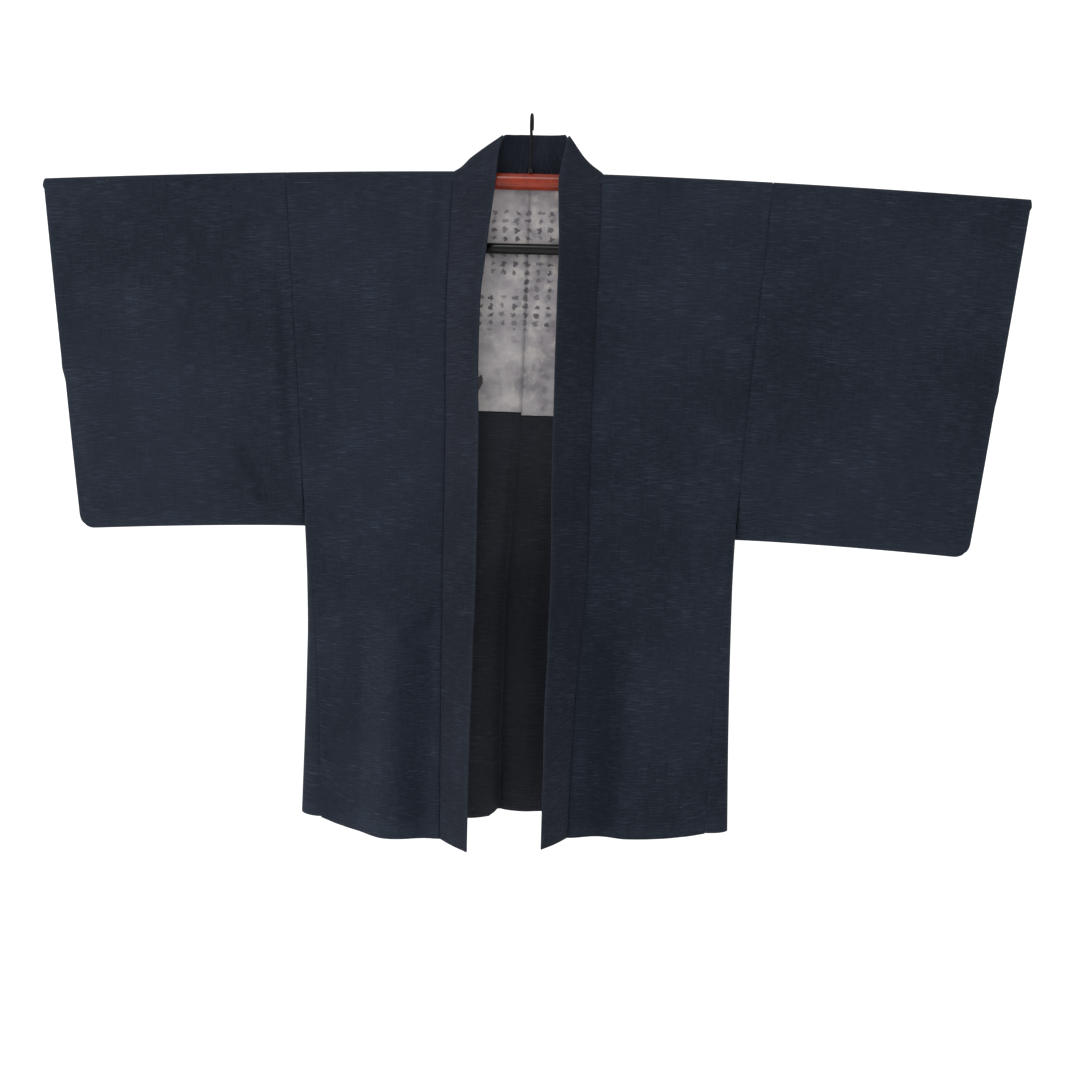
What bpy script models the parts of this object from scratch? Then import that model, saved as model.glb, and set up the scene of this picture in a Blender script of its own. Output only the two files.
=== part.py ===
"""A lined haori jacket, hung open and flat on a telescoping kimono hanger.

Each cloth piece is a surface with a wall thickness. Its shape is worked out from
short tables, one row for a level, a section or a fold. Sizes are millimetres, and
MM turns them into metres. x runs to the wearer's left, -y is the front, z is up.
Levels are measured from the shoulder line at the neck, and the origin is the
bearing point inside the crown of the hanger's hook.
"""
import math
from collections import namedtuple

import bmesh
import bpy
from mathutils import Vector

MM = 0.001

# Driving dimensions of the garment.
HALF_SPAN = 679.0            # centre back to the sleeve tip
TIP_DROOP = 23.0             # fall of the shoulder line at the sleeve tip
DROOP_POWER = 1.62
FRONT_LENGTH = 905.0         # neck level to the front hem
BACK_LENGTH = 887.0          # neck level to the back hem
CLOTH = 1.6                  # wall of body, sleeves and gussets
BAND_CLOTH = 2.4             # wall of the doubled collar band
LINING_CLOTH = 1.0
SEAM_GAP = 0.3
ARMHOLE_GAP = 0.9
FOLD_RADIUS = 12.4           # cloth over the hanger's arms, at the middle of the wall
BAND_WIDTH = 60.5
ARMHOLE_END = 430.0          # level where sleeve and body part
SLEEVE_END = 496.0           # sleeve bottom at the armhole
CUFF_END = 510.0             # sleeve bottom at the cuff
CORNER_RADIUS = 18.0
CUFF_OPEN = 0.525            # share of the sleeve's height that is left open at the wrist
ARM_OPEN = 0.865             # share of the sleeve's height that is sewn to the body
LAYER_EASE = 0.5             # looseness of the inner layers
LAYER_OUTER = 0.85           # how far out towards the side seam the inner layers reach
LAYER_INSET = 0.16           # share of the first strip that inner layers leave free at the centre
EDGE_HALF = 3.0              # half thickness of a sewn-up sleeve edge
STEP_OUT = 3.6               # gap between the body and the sleeve's free inner edge
STEP_RUN = 6.0               # length over which that gap opens
CLOSE_SHARE = 0.05           # share of the height over which the wrist edge closes
ARM_CLOSE_SHARE = 0.035
CLOSE_REACH = 24.0           # how far in from a sewn-up edge the sleeve thins

# Driving dimensions of the hanger.
HOOK_RISE = 77.0             # hook's bearing point above the shoulder line
TUBE_RADIUS = 11.5
TUBE_LEVEL = -13.6
TUBE_HALF = 82.0
ARM_RADIUS = 9.5
ARM_BELOW = 12.65            # arm axis below the shoulder line
ARM_END = 648.0
BAR_RADIUS = 7.5
BAR_LEVEL = TUBE_LEVEL - 92.5
BAR_HALF = 190.0
LINK_RADIUS = 3.0
LINK_X = 165.0
WIRE_RADIUS = 2.0
SOCKET_RADIUS = 5.0
SOCKET_HEIGHT = 6.0
HOOK_RADIUS = 13.0

RIGHT = -1                   # the wearer's right, at -x
LEFT = 1

# Level where lining meets the turned-up hem cloth, on each half of the back.
LINING_END = {RIGHT: 329.0, LEFT: 333.0}
FACING_LAP = 1.5

Level = namedtuple("Level", "drop seam_x seam_y turn side_x side_y")
FRONTS = {
    RIGHT: (
        Level(0.0, 105.6, -12.4, 3.0, 337.2, -12.4),
        Level(12.4, 105.8, -12.4, 7.0, 336.2, -12.4),
        Level(40.0, 106.4, -12.6, 14.0, 333.8, -12.6),
        Level(110.0, 108.0, -13.0, 26.5, 327.6, -12.8),
        Level(178.0, 108.7, -14.0, 33.8, 321.4, -12.8),
        Level(275.0, 106.6, -15.5, 36.0, 312.6, -12.6),
        Level(370.0, 103.4, -18.0, 35.5, 304.0, -12.2),
        Level(430.0, 102.3, -20.0, 35.0, 298.6, -12.0),
        Level(535.0, 100.3, -24.0, 34.8, 284.4, -12.6),
        Level(655.0, 97.4, -29.5, 38.6, 271.6, -13.8),
        Level(727.0, 95.3, -33.0, 40.6, 266.0, -14.6),
        Level(820.0, 92.4, -38.0, 42.8, 260.4, -15.8),
        Level(905.0, 89.2, -42.0, 44.3, 256.6, -17.0),
    ),
    LEFT: (
        Level(0.0, 100.3, -12.4, 3.0, 332.6, -12.4),
        Level(12.4, 100.3, -12.4, 7.0, 331.6, -12.4),
        Level(40.0, 100.2, -12.6, 15.0, 329.4, -12.6),
        Level(110.0, 99.4, -13.0, 26.0, 323.8, -12.8),
        Level(178.0, 98.0, -14.0, 29.0, 318.6, -12.8),
        Level(275.0, 96.2, -15.5, 33.0, 311.2, -12.6),
        Level(370.0, 95.7, -18.0, 34.5, 304.0, -12.2),
        Level(430.0, 96.2, -20.0, 35.0, 299.6, -12.0),
        Level(535.0, 97.6, -24.0, 37.4, 288.6, -12.6),
        Level(655.0, 91.0, -29.5, 44.6, 279.0, -13.8),
        Level(727.0, 87.0, -33.0, 47.6, 275.4, -14.6),
        Level(820.0, 84.8, -38.0, 49.9, 271.0, -15.8),
        Level(905.0, 83.2, -42.0, 51.5, 268.0, -17.0),
    ),
}

# The front hem's level across the panel, from the collar seam to the side seam.
Hem = namedtuple("Hem", "share right_drop left_drop")
FRONT_HEM = (
    Hem(0.0, 914.5, 905.5),
    Hem(0.45, 915.0, 904.0),
    Hem(0.78, 903.0, 900.5),
    Hem(1.0, 895.0, 896.0),
)

# The back panels: the centre seam drifts as it hangs, and the wall moves back.
BackLevel = namedtuple("BackLevel", "drop centre_x middle_y side_y wave")
BACK = (
    BackLevel(12.4, 0.0, 12.4, 12.4, 0.0),
    BackLevel(40.0, -0.3, 13.6, 12.8, 0.0),
    BackLevel(178.0, -0.8, 14.6, 12.8, 0.03),
    BackLevel(335.0, -2.4, 15.6, 12.4, 0.11),
    BackLevel(430.0, -6.4, 16.4, 12.0, 0.3),
    BackLevel(500.0, -10.2, 17.0, 12.4, 0.5),
    BackLevel(605.0, -15.4, 18.0, 13.0, 0.7),
    BackLevel(753.0, -15.2, 19.0, 14.0, 0.88),
    BackLevel(BACK_LENGTH, -13.8, 20.0, 15.0, 1.0),
)

# Fold across the back below the waist, measured from the centre seam.
Wave = namedtuple("Wave", "off_centre push")
BACK_WAVE = (
    Wave(-150.0, 0.0),
    Wave(-92.0, 8.0),
    Wave(-45.0, -29.0),
    Wave(-18.0, -11.0),
    Wave(-3.0, 15.0),
    Wave(12.0, 5.0),
    Wave(30.0, 0.0),
    Wave(60.0, 10.0),
    Wave(90.0, 10.0),
    Wave(150.0, 0.0),
)

# The back hem's level, measured from the centre seam.
BackHem = namedtuple("BackHem", "off_centre drop")
BACK_HEM = (
    BackHem(-272.0, 887.0),
    BackHem(-90.0, 889.0),
    BackHem(-40.0, 889.5),
    BackHem(-14.0, 888.0),
    BackHem(-3.0, 881.0),
    BackHem(60.0, 881.5),
    BackHem(150.0, 885.0),
    BackHem(290.0, 889.0),
)

# Soft troughs and ridges of the front panels, by distance out from the centre.
Fold = namedtuple("Fold", "side x half_width push start full")
FRONT_FOLDS = (
    Fold(RIGHT, 162.0, 64.0, -8.0, 590.0, 790.0),
    Fold(RIGHT, 226.0, 34.0, 4.0, 620.0, 880.0),
    Fold(LEFT, 120.0, 34.0, 5.0, 520.0, 780.0),
    Fold(LEFT, 176.0, 62.0, -5.0, 600.0, 880.0),
)

# The collar band where it turns over the shoulder and stands round the neck.
Neck = namedtuple("Neck", "seam_x seam_turn right_x right_z left_x left_z free_y")
NECK = (
    Neck(1.0, 45.0, 43.5, 20.0, 46.0, 22.0, -16.5),
    Neck(1.0, 90.0, 38.2, 48.6, 51.6, 49.2, -9.0),
    Neck(1.0, 125.0, 42.0, 34.5, 48.6, 47.5, 3.0),
    Neck(0.97, 180.0, 36.6, 54.0, 44.6, 55.5, 14.0),
    Neck(0.72, 180.0, 25.0, 55.8, 34.0, 56.4, 21.5),
    Neck(0.38, 180.0, 13.0, 57.0, 20.0, 57.0, 26.0),
)
NECK_CENTRE_Y = 28.0         # the band's free edge at the centre back
NECK_CENTRE_Z = 57.4
BAND_SAG = 9.0               # how much lower than the seam the band's free edge ends
BAND_LIFT = 1.35             # how far the band's wall starts from the seam line
STRETCH_START = 500.0        # level from which the panels lengthen to their uneven hems
NECK_DEEPEN = 4.2            # how far the back neck edge stands behind the tube
NECK_FADE = 150.0            # length down the back over which that fades
NECK_EDGE_X = 104.0          # half width of the neck slit
NECK_EDGE_FADE = 24.0
BACK_FADE_X = 300.0          # where the back's depth becomes that of its side seam
SEAM_CURVE = 1.2             # how the front's depth runs from the collar seam outwards

# Gussets: a strip folded along its middle, from the underarm to the hem.
Gusset = namedtuple("Gusset", "drop right_fold left_fold fold_y")
GUSSET = (
    Gusset(436.0, 299.9, 301.0, 0.0),
    Gusset(500.0, 294.9, 296.4, 0.0),
    Gusset(575.0, 289.6, 295.0, 0.0),
    Gusset(655.0, 286.4, 295.2, -0.5),
    Gusset(755.0, 285.8, 296.4, -1.0),
    Gusset(889.0, 286.2, 299.4, -1.5),
)
GussetHem = namedtuple("GussetHem", "front fold back")
GUSSET_HEM = {RIGHT: GussetHem(894.0, 888.0, 886.5), LEFT: GussetHem(895.0, 892.0, 888.0)}

# Sleeves: the wrist edge, and how thick the envelope is from top to bottom.
Wrist = namedtuple("Wrist", "drop x")
WRIST = (
    Wrist(0.0, 682.0),
    Wrist(23.0, 679.0),
    Wrist(275.0, 644.7),
    Wrist(490.0, 614.0),
    Wrist(512.0, 610.5),
)
Depth = namedtuple("Depth", "share half")
SLEEVE_DEPTH = (
    Depth(0.0, 12.4),
    Depth(0.3, 12.8),
    Depth(0.865, 12.0),
    Depth(0.93, 9.0),
    Depth(1.0, 3.0),
)

FRONT_ROWS = (905, 862, 800, 727, 655, 600, 535, 485, 430, 370, 275, 178, 110, 40)
BACK_ROWS = (40, 110, 178, 275, 335, 430, 500, 560, 605, 680, 753, 820, 887)
LINING_ROWS = (17.0, 45.0, 110.0, 178.0, 275.0)
FACING_ROWS = (430.0, 500.0, 560.0, 605.0, 680.0, 753.0, 820.0, 884.0)
ARC_TURNS = (0, 30, 60, 90, 120, 150, 180)
PANEL_SHARES = (0.0, 0.12, 0.24, 0.38, 0.54, 0.7, 0.85, 1.0)
NECK_SHARES = (0.0, 0.17, 0.42, 0.66, 0.86, 1.0)
SLEEVE_SHARES = (0.1, 0.28, 0.42, 0.525, 0.57, 0.68, 0.8, 0.865, 0.9, 0.945, 0.975)
SLEEVE_COLUMNS = (0.0, 0.05, 0.2, 0.4, 0.6, 0.8, 0.9, 0.944, 0.962, 0.981, 1.0)
GUSSET_TURNS = (0, 30, 60, 90, 120, 150, 180)


def follow(table, key, column, at):
    """Read a table's column at any value of its key, on a smooth curve with no overshoot."""
    keys = [getattr(row, key) for row in table]
    values = [getattr(row, column) for row in table]
    if at <= keys[0]:
        return values[0]
    if at >= keys[-1]:
        return values[-1]
    slopes = [(values[i + 1] - values[i]) / (keys[i + 1] - keys[i]) for i in range(len(keys) - 1)]
    pulls = [slopes[0]]
    for before, after in zip(slopes, slopes[1:]):
        pulls.append(2.0 * before * after / (before + after) if before * after > 0.0 else 0.0)
    pulls.append(slopes[-1])
    i = max(k for k in range(len(slopes)) if keys[k] <= at)
    width = keys[i + 1] - keys[i]
    t = (at - keys[i]) / width
    start = values[i] * (1 + 2 * t) * (1 - t) ** 2 + pulls[i] * width * t * (1 - t) ** 2
    end = values[i + 1] * t * t * (3 - 2 * t) + pulls[i + 1] * width * t * t * (t - 1)
    return start + end


def ease(value):
    """Rise smoothly from 0 to 1."""
    value = min(max(value, 0.0), 1.0)
    return value * value * (3.0 - 2.0 * value)


def shoulder(x):
    """Level of the shoulder line, which falls away towards the sleeve tips."""
    return -TIP_DROOP * (abs(x) / HALF_SPAN) ** DROOP_POWER


def place(x, y, z):
    """Turn a garment point into a point of the model's frame."""
    return Vector((x, y, z - HOOK_RISE)) * MM


def over_arm(x, turn):
    """A point of the fold over the hanger's arm; turn 0 is its front, 180 its back."""
    angle = math.radians(turn)
    centre = shoulder(x) - CLOTH / 2 - FOLD_RADIUS
    return x, -FOLD_RADIUS * math.cos(angle), centre + FOLD_RADIUS * math.sin(angle)


def level_of(x, drop):
    """Level of a row: it follows the shoulder line at the top and is level from the underarm."""
    return shoulder(x) * (1.0 - ease(drop / SLEEVE_END)) - CLOTH / 2 - drop


def drop_of(x, z):
    """The row that runs through a level, near enough for a seam that is almost straight."""
    return -z - CLOTH / 2 + shoulder(x) * (1.0 - ease(-z / SLEEVE_END))


def front_point(side, share, drop):
    """A point of the front panel, from the collar seam (share 0) to the side seam (share 1)."""
    table = FRONTS[side]
    seam_x = follow(table, "drop", "seam_x", drop)
    side_x = follow(table, "drop", "side_x", drop)
    out = seam_x + share * (side_x - seam_x)
    seam_y = follow(table, "drop", "seam_y", drop)
    side_y = follow(table, "drop", "side_y", drop)
    y = side_y + (seam_y - side_y) * (1.0 - share) ** SEAM_CURVE
    for fold in FRONT_FOLDS:
        if fold.side == side:
            reach = max(0.0, 1.0 - ((out - fold.x) / fold.half_width) ** 2) ** 2
            y += fold.push * reach * ease((drop - fold.start) / (fold.full - fold.start))
    column = "right_drop" if side == RIGHT else "left_drop"
    stretch = follow(FRONT_HEM, "share", column, share) / FRONT_LENGTH - 1.0
    lengthen = stretch * ease((drop - STRETCH_START) / (FRONT_LENGTH - STRETCH_START))
    return side * out, y, level_of(out, drop) - drop * lengthen


def back_y(x, drop):
    """How far behind the arms the back panel hangs."""
    middle = follow(BACK, "drop", "middle_y", drop)
    edge = follow(BACK, "drop", "side_y", drop)
    y = edge + (middle - edge) * (1.0 - ease(abs(x) / BACK_FADE_X))
    off_centre = x - follow(BACK, "drop", "centre_x", drop)
    y += follow(BACK_WAVE, "off_centre", "push", off_centre) * follow(BACK, "drop", "wave", drop)
    neck = NECK_DEEPEN * ease((NECK_EDGE_X - abs(x)) / NECK_EDGE_FADE)
    return y + neck * (1.0 - ease((drop - FOLD_RADIUS) / NECK_FADE))


def back_side_x(side, drop):
    """Distance of the back panel's side seam from the centre."""
    lengthen = 1.0 + (FRONT_LENGTH / BACK_LENGTH - 1.0) * ease(drop / BACK_LENGTH)
    return follow(FRONTS[side], "drop", "side_x", drop * lengthen)


def back_x(side, inner, share, drop):
    """Across the back: inner runs from the centre seam to the neck point, share from there out."""
    centre = follow(BACK, "drop", "centre_x", drop)
    centre += side * (SEAM_GAP + CLOTH / 2 * follow(BACK, "drop", "wave", drop))
    neck = side * FRONTS[side][0].seam_x
    outer = side * back_side_x(side, drop)
    return centre + inner * (neck - centre) if share is None else neck + share * (outer - neck)


def back_point(side, inner, share, drop):
    """A point of the back panel."""
    x = back_x(side, inner, share, drop)
    off_centre = x - follow(BACK, "drop", "centre_x", drop)
    stretch = follow(BACK_HEM, "off_centre", "drop", off_centre) / BACK_LENGTH - 1.0
    lengthen = stretch * ease((drop - STRETCH_START) / (BACK_LENGTH - STRETCH_START))
    return x, back_y(x, drop), level_of(x, drop) - drop * lengthen


def material(name, colour, roughness, metallic=0.0):
    """One Principled material."""
    made = bpy.data.materials.new(name)
    made.use_nodes = True
    shader = made.node_tree.nodes["Principled BSDF"]
    shader.inputs["Base Color"].default_value = (*colour, 1.0)
    shader.inputs["Roughness"].default_value = roughness
    shader.inputs["Metallic"].default_value = metallic
    return made


def add_object(name, bm, finish, wall=None):
    """Make an object of a bmesh, with a wall built evenly on both sides of its surface."""
    mesh = bpy.data.meshes.new(name)
    bm.to_mesh(mesh)
    bm.free()
    mesh.materials.append(finish)
    made = bpy.data.objects.new(name, mesh)
    bpy.context.collection.objects.link(made)
    if wall:
        solid = made.modifiers.new("wall", "SOLIDIFY")
        solid.thickness = wall * MM
        solid.offset = 0.0
        solid.use_even_offset = True
        solid.use_quality_normals = True
    return made


def grid_of(rows, columns, point):
    """A grid whose vertex at (row, column) lies at point(row, column)."""
    bm = bmesh.new()
    made = bmesh.ops.create_grid(bm, x_segments=columns - 1, y_segments=rows - 1, size=1.0)
    grid = [made["verts"][row * columns:(row + 1) * columns] for row in range(rows)]
    for row in range(rows):
        for column in range(columns):
            grid[row][column].co = place(*point(row, column))
    return bm, grid


def body_half(name, side, finish):
    """Front and back in one length over the shoulder, with a slit for the neck."""
    front = [("front", drop) for drop in FRONT_ROWS]
    arc = [("arc", turn) for turn in ARC_TURNS]
    back = [("back", drop) for drop in BACK_ROWS]
    rows = front + arc + back
    neck_columns = len(NECK_SHARES) - 1

    def point(row, column):
        kind, value = rows[row]
        share = PANEL_SHARES[max(column - neck_columns, 0)]
        inner = NECK_SHARES[min(column, neck_columns)]
        outside = column > neck_columns
        if kind == "front":
            return front_point(side, share, value)
        if kind == "back":
            return back_point(side, inner, share if outside else None, value)
        x = back_x(side, inner, share if outside else None, FOLD_RADIUS)
        x, y, z = over_arm(x, value)
        if value == 180:
            y = back_y(x, FOLD_RADIUS)
        return x, y, z

    bm, grid = grid_of(len(rows), neck_columns + len(PANEL_SHARES), point)
    slit_row = len(front) + len(arc) - 1
    cut = set()
    for row in range(slit_row):
        for column in range(neck_columns):
            corner = {*grid[row][column:column + 2], *grid[row + 1][column:column + 2]}
            cut.update(face for face in grid[row][column].link_faces if set(face.verts) == corner)
    bmesh.ops.delete(bm, geom=list(cut), context="FACES")
    return add_object(name, bm, finish, CLOTH)


def gusset(name, side, finish):
    """The long narrow strip between front and back at the side."""
    def point(row, column):
        drop = GUSSET[row].drop
        last = row == len(GUSSET) - 1
        front_x, front_y, _ = front_point(side, 1.0, drop if not last else FRONT_LENGTH)
        back = back_point(side, 1.0, 1.0, drop)
        fold_x = side * (GUSSET[row].right_fold if side == RIGHT else GUSSET[row].left_fold)
        turn = math.radians(GUSSET_TURNS[column])
        edge_x = (front_x if column * 2 < len(GUSSET_TURNS) else back[0]) + side * (SEAM_GAP + CLOTH / 2)
        edge_y = front_y if column * 2 < len(GUSSET_TURNS) else back[1]
        x = edge_x + (fold_x - edge_x) * math.sin(turn)
        y = GUSSET[row].fold_y + (edge_y - GUSSET[row].fold_y) * abs(math.cos(turn))
        z = level_of(x, drop)
        if last:
            hem = GUSSET_HEM[side]
            end = hem.front if column * 2 < len(GUSSET_TURNS) else hem.back
            z = -CLOTH / 2 - (hem.fold + (end - hem.fold) * abs(math.cos(turn)))
        return x, y, z

    bm, _ = grid_of(len(GUSSET), len(GUSSET_TURNS), point)
    return add_object(name, bm, finish, CLOTH)


def round_corner(off_edge, off_bottom):
    """Bend the sleeve's square lower corner onto an arc."""
    if off_edge >= CORNER_RADIUS or off_bottom >= CORNER_RADIUS:
        return off_edge, off_bottom
    across = CORNER_RADIUS - off_edge
    down = CORNER_RADIUS - off_bottom
    length = math.hypot(across, down)
    if length < 1e-6:
        return off_edge, off_bottom
    reach = max(across, down) / length
    return CORNER_RADIUS - across * reach, CORNER_RADIUS - down * reach


def sleeve_point(side, along, share, face):
    """A point of the sleeve; face is -1 on its front and 1 on its back, 0 on its bottom edge."""
    top_x = FRONTS[side][0].side_x + along * (HALF_SPAN - FRONTS[side][0].side_x)
    top = shoulder(top_x) - CLOTH / 2 - FOLD_RADIUS
    bottom = -(SLEEVE_END + (CUFF_END - SLEEVE_END) * along ** 1.5)
    z = top + share * (bottom - top)
    drop = drop_of(FRONTS[side][0].side_x, z)
    above, below = [row for row in FRONTS[side] if row.drop <= ARMHOLE_END][-2:]
    armhole = follow(FRONTS[side], "drop", "side_x", drop)
    if drop > below.drop:
        lean = (below.side_x - above.side_x) / (below.drop - above.drop)
        armhole = below.side_x + lean * (drop - below.drop)
    armhole += STEP_OUT * ease((drop - below.drop + STEP_RUN) / STEP_RUN)
    wrist = follow(WRIST, "drop", "x", -z)
    start = armhole + ARMHOLE_GAP
    out = start + along * (wrist - start)
    off_edge, off_bottom = round_corner(wrist - out, z - bottom)
    half = follow(SLEEVE_DEPTH, "share", "half", share)
    closed_wrist = ease((share - CUFF_OPEN) / CLOSE_SHARE) * ease(1.0 - off_edge / CLOSE_REACH)
    closed_arm = ease((share - ARM_OPEN) / ARM_CLOSE_SHARE) * ease(1.0 - (out - start) / CLOSE_REACH)
    half += (EDGE_HALF - half) * max(closed_wrist, closed_arm)
    return side * (wrist - off_edge), face * half, bottom + off_bottom


def sleeve(name, side, finish):
    """A flat bag folded at the top: open along the armhole and at the wrist."""
    rows = [("bottom", 1.0, -1), ("turn", 1.0, -1)]
    rows += [("side", share, -1) for share in reversed(SLEEVE_SHARES)]
    rows += [("arc", turn, 0) for turn in ARC_TURNS]
    rows += [("side", share, 1) for share in SLEEVE_SHARES]
    rows += [("turn", 1.0, 1), ("bottom", 1.0, 1)]

    def point(row, column):
        kind, value, face = rows[row]
        along = SLEEVE_COLUMNS[column]
        if kind == "side":
            return sleeve_point(side, along, value, face)
        if kind == "arc":
            start = FRONTS[side][0].side_x + ARMHOLE_GAP - abs(math.cos(math.radians(value)))
            x, y, z = over_arm(side * (start + along * (HALF_SPAN - start)), value)
            return x, y, z
        x, y, z = sleeve_point(side, along, 1.0, face)
        if kind == "bottom":
            return x, 0.0, z
        diagonal = math.sqrt(0.5)
        return x, face * EDGE_HALF * diagonal, z + EDGE_HALF * (1.0 - diagonal)

    bm, grid = grid_of(len(rows), len(SLEEVE_COLUMNS), point)
    for end, open_share in ((0, ARM_OPEN), (-1, CUFF_OPEN)):
        closed = 2 + sum(1 for share in SLEEVE_SHARES if share > open_share + 1e-6)
        for row in range(closed):
            quad = [grid[row][end], grid[row + 1][end], grid[-2 - row][end], grid[-1 - row][end]]
            bmesh.ops.contextual_create(bm, geom=quad)
    bmesh.ops.remove_doubles(bm, verts=bm.verts, dist=0.0001 * MM)
    bmesh.ops.recalc_face_normals(bm, faces=bm.faces)
    return add_object(name, bm, finish, CLOTH)


def collar_sections():
    """Seam point and free point of each section, from the right hem round the neck to the left hem."""
    halves = {}
    for side in (RIGHT, LEFT):
        sections = []
        for drop in (*FRONT_ROWS, FOLD_RADIUS):
            seam = Vector(front_point(side, 0.0, drop))
            turn = follow(FRONTS[side], "drop", "turn", drop)
            reach = math.sqrt(BAND_WIDTH ** 2 - turn ** 2)
            sag = BAND_SAG * ease((drop - STRETCH_START) / (FRONT_LENGTH - STRETCH_START))
            sections.append((seam, seam + Vector((-side * reach, -turn, -sag))))
        for neck in NECK:
            x = side * FRONTS[side][0].seam_x * neck.seam_x
            seam = Vector(over_arm(x, neck.seam_turn))
            if neck.seam_turn == 180:
                seam.y = back_y(x, FOLD_RADIUS)
            free = Vector((neck.left_x, neck.free_y, neck.left_z))
            if side == RIGHT:
                free = Vector((-neck.right_x, neck.free_y, neck.right_z))
            sections.append((seam, free))
        halves[side] = sections
    seam = Vector(over_arm(0.0, 180))
    seam.y = back_y(0.0, FOLD_RADIUS)
    centre = (seam, Vector((0.0, NECK_CENTRE_Y, NECK_CENTRE_Z)))
    return halves[RIGHT] + [centre] + halves[LEFT][::-1]


def collar(name, finish):
    """One doubled band, sewn on from hem to hem, turned forward along its free edge."""
    sections = collar_sections()
    across = (0.0, 0.3, 0.65, 1.0)

    def point(row, column):
        seam, free = sections[row]
        lift = BAND_LIFT / (free - seam).length
        return seam.lerp(free, lift + (1.0 - lift) * across[column])

    bm, _ = grid_of(len(sections), len(across), point)
    return add_object(name, bm, finish, BAND_CLOTH)


def back_layer(name, side, finish, wall, drops):
    """Cloth that lies inside the back panel: its points, moved in along the panel's normal."""
    inner = [(share, None) for share in NECK_SHARES]
    columns = inner + [(1.0, share) for share in PANEL_SHARES[1:] if share <= LAYER_OUTER]

    def point(row, column):
        across, share = columns[column]
        x, y, z = back_point(side, across, share, drops[row])
        return x, y, z

    bm, grid = grid_of(len(drops), len(columns), point)
    for row in grid:
        row[0].co = row[0].co.lerp(row[1].co, LAYER_INSET)
    bm.normal_update()
    inward = -1.0 if bm.faces[:][0].normal.y > 0 else 1.0
    shift = (CLOTH / 2 + SEAM_GAP + LAYER_EASE + wall / 2) * MM * inward
    moved = [(vert, vert.co + vert.normal * shift) for vert in bm.verts]
    for vert, target in moved:
        vert.co = target
    return add_object(name, bm, finish, wall)


def rod(name, finish, start, end, radius, sides=20):
    """A plain round rod between two points."""
    first = place(*start)
    last = place(*end)
    bm = bmesh.new()
    bmesh.ops.create_cone(bm, cap_ends=True, segments=sides, radius1=radius * MM, radius2=radius * MM,
                          depth=(last - first).length)
    turn = Vector((0.0, 0.0, 1.0)).rotation_difference(last - first)
    bmesh.ops.rotate(bm, verts=bm.verts, cent=(0.0, 0.0, 0.0), matrix=turn.to_matrix())
    bmesh.ops.translate(bm, verts=bm.verts, vec=(first + last) / 2)
    return add_object(name, bm, finish)


def bent_rod(name, finish, points, radius, sides):
    """A round rod or wire along a path, with closed ends."""
    curve = bpy.data.curves.new(name, "CURVE")
    curve.dimensions = "3D"
    curve.bevel_depth = radius * MM
    curve.bevel_resolution = sides
    curve.use_fill_caps = True
    path = curve.splines.new("POLY")
    path.points.add(len(points) - 1)
    for knot, point in zip(path.points, points):
        knot.co = (*place(*point), 1.0)
    curve.materials.append(finish)
    made = bpy.data.objects.new(name, curve)
    bpy.context.collection.objects.link(made)
    return made


def hanger(vermilion, black, steel):
    """Tube, two sliding arms, a lower bar on two links, and a wire hook that opens to the back."""
    rod("hanger_tube", vermilion, (-TUBE_HALF, 0, TUBE_LEVEL), (TUBE_HALF, 0, TUBE_LEVEL), TUBE_RADIUS)
    rod("hanger_bar", black, (-BAR_HALF, 0, BAR_LEVEL), (BAR_HALF, 0, BAR_LEVEL), BAR_RADIUS)
    for side, word in ((RIGHT, "right"), (LEFT, "left")):
        steps = 7
        start = TUBE_HALF + SEAM_GAP
        xs = [start + (ARM_END - start) * step / steps for step in range(steps + 1)]
        path = [(side * x, 0.0, shoulder(x) - ARM_BELOW) for x in xs]
        bent_rod("hanger_arm_" + word, vermilion, path, ARM_RADIUS, 3)
        top = shoulder(LINK_X) - ARM_BELOW - ARM_RADIUS - SEAM_GAP
        bottom = BAR_LEVEL + BAR_RADIUS + SEAM_GAP
        foot = (side * LINK_X, 0, bottom)
        rod("hanger_link_" + word, black, foot, (side * LINK_X, 0, top), LINK_RADIUS, 12)
    seat = TUBE_LEVEL + TUBE_RADIUS + SEAM_GAP
    rod("hanger_hook_socket", black, (0, 0, seat), (0, 0, seat + SOCKET_HEIGHT), SOCKET_RADIUS, 16)
    crown = HOOK_RISE + WIRE_RADIUS - HOOK_RADIUS
    stem_top = crown - 1.7 * HOOK_RADIUS
    path = [(0, 0, seat + SOCKET_HEIGHT + SEAM_GAP), (0, 0, stem_top - 16.0), (0, 0, stem_top)]
    path.append((0, -0.2 * HOOK_RADIUS, stem_top + 0.4 * HOOK_RADIUS))
    path.append((0, -0.55 * HOOK_RADIUS, stem_top + 0.72 * HOOK_RADIUS))
    for step in range(17):
        angle = math.radians(218.0 - 15.0 * step)
        path.append((0, HOOK_RADIUS * math.cos(angle), crown + HOOK_RADIUS * math.sin(angle)))
    bent_rod("hanger_hook", steel, path, WIRE_RADIUS, 2)


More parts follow.
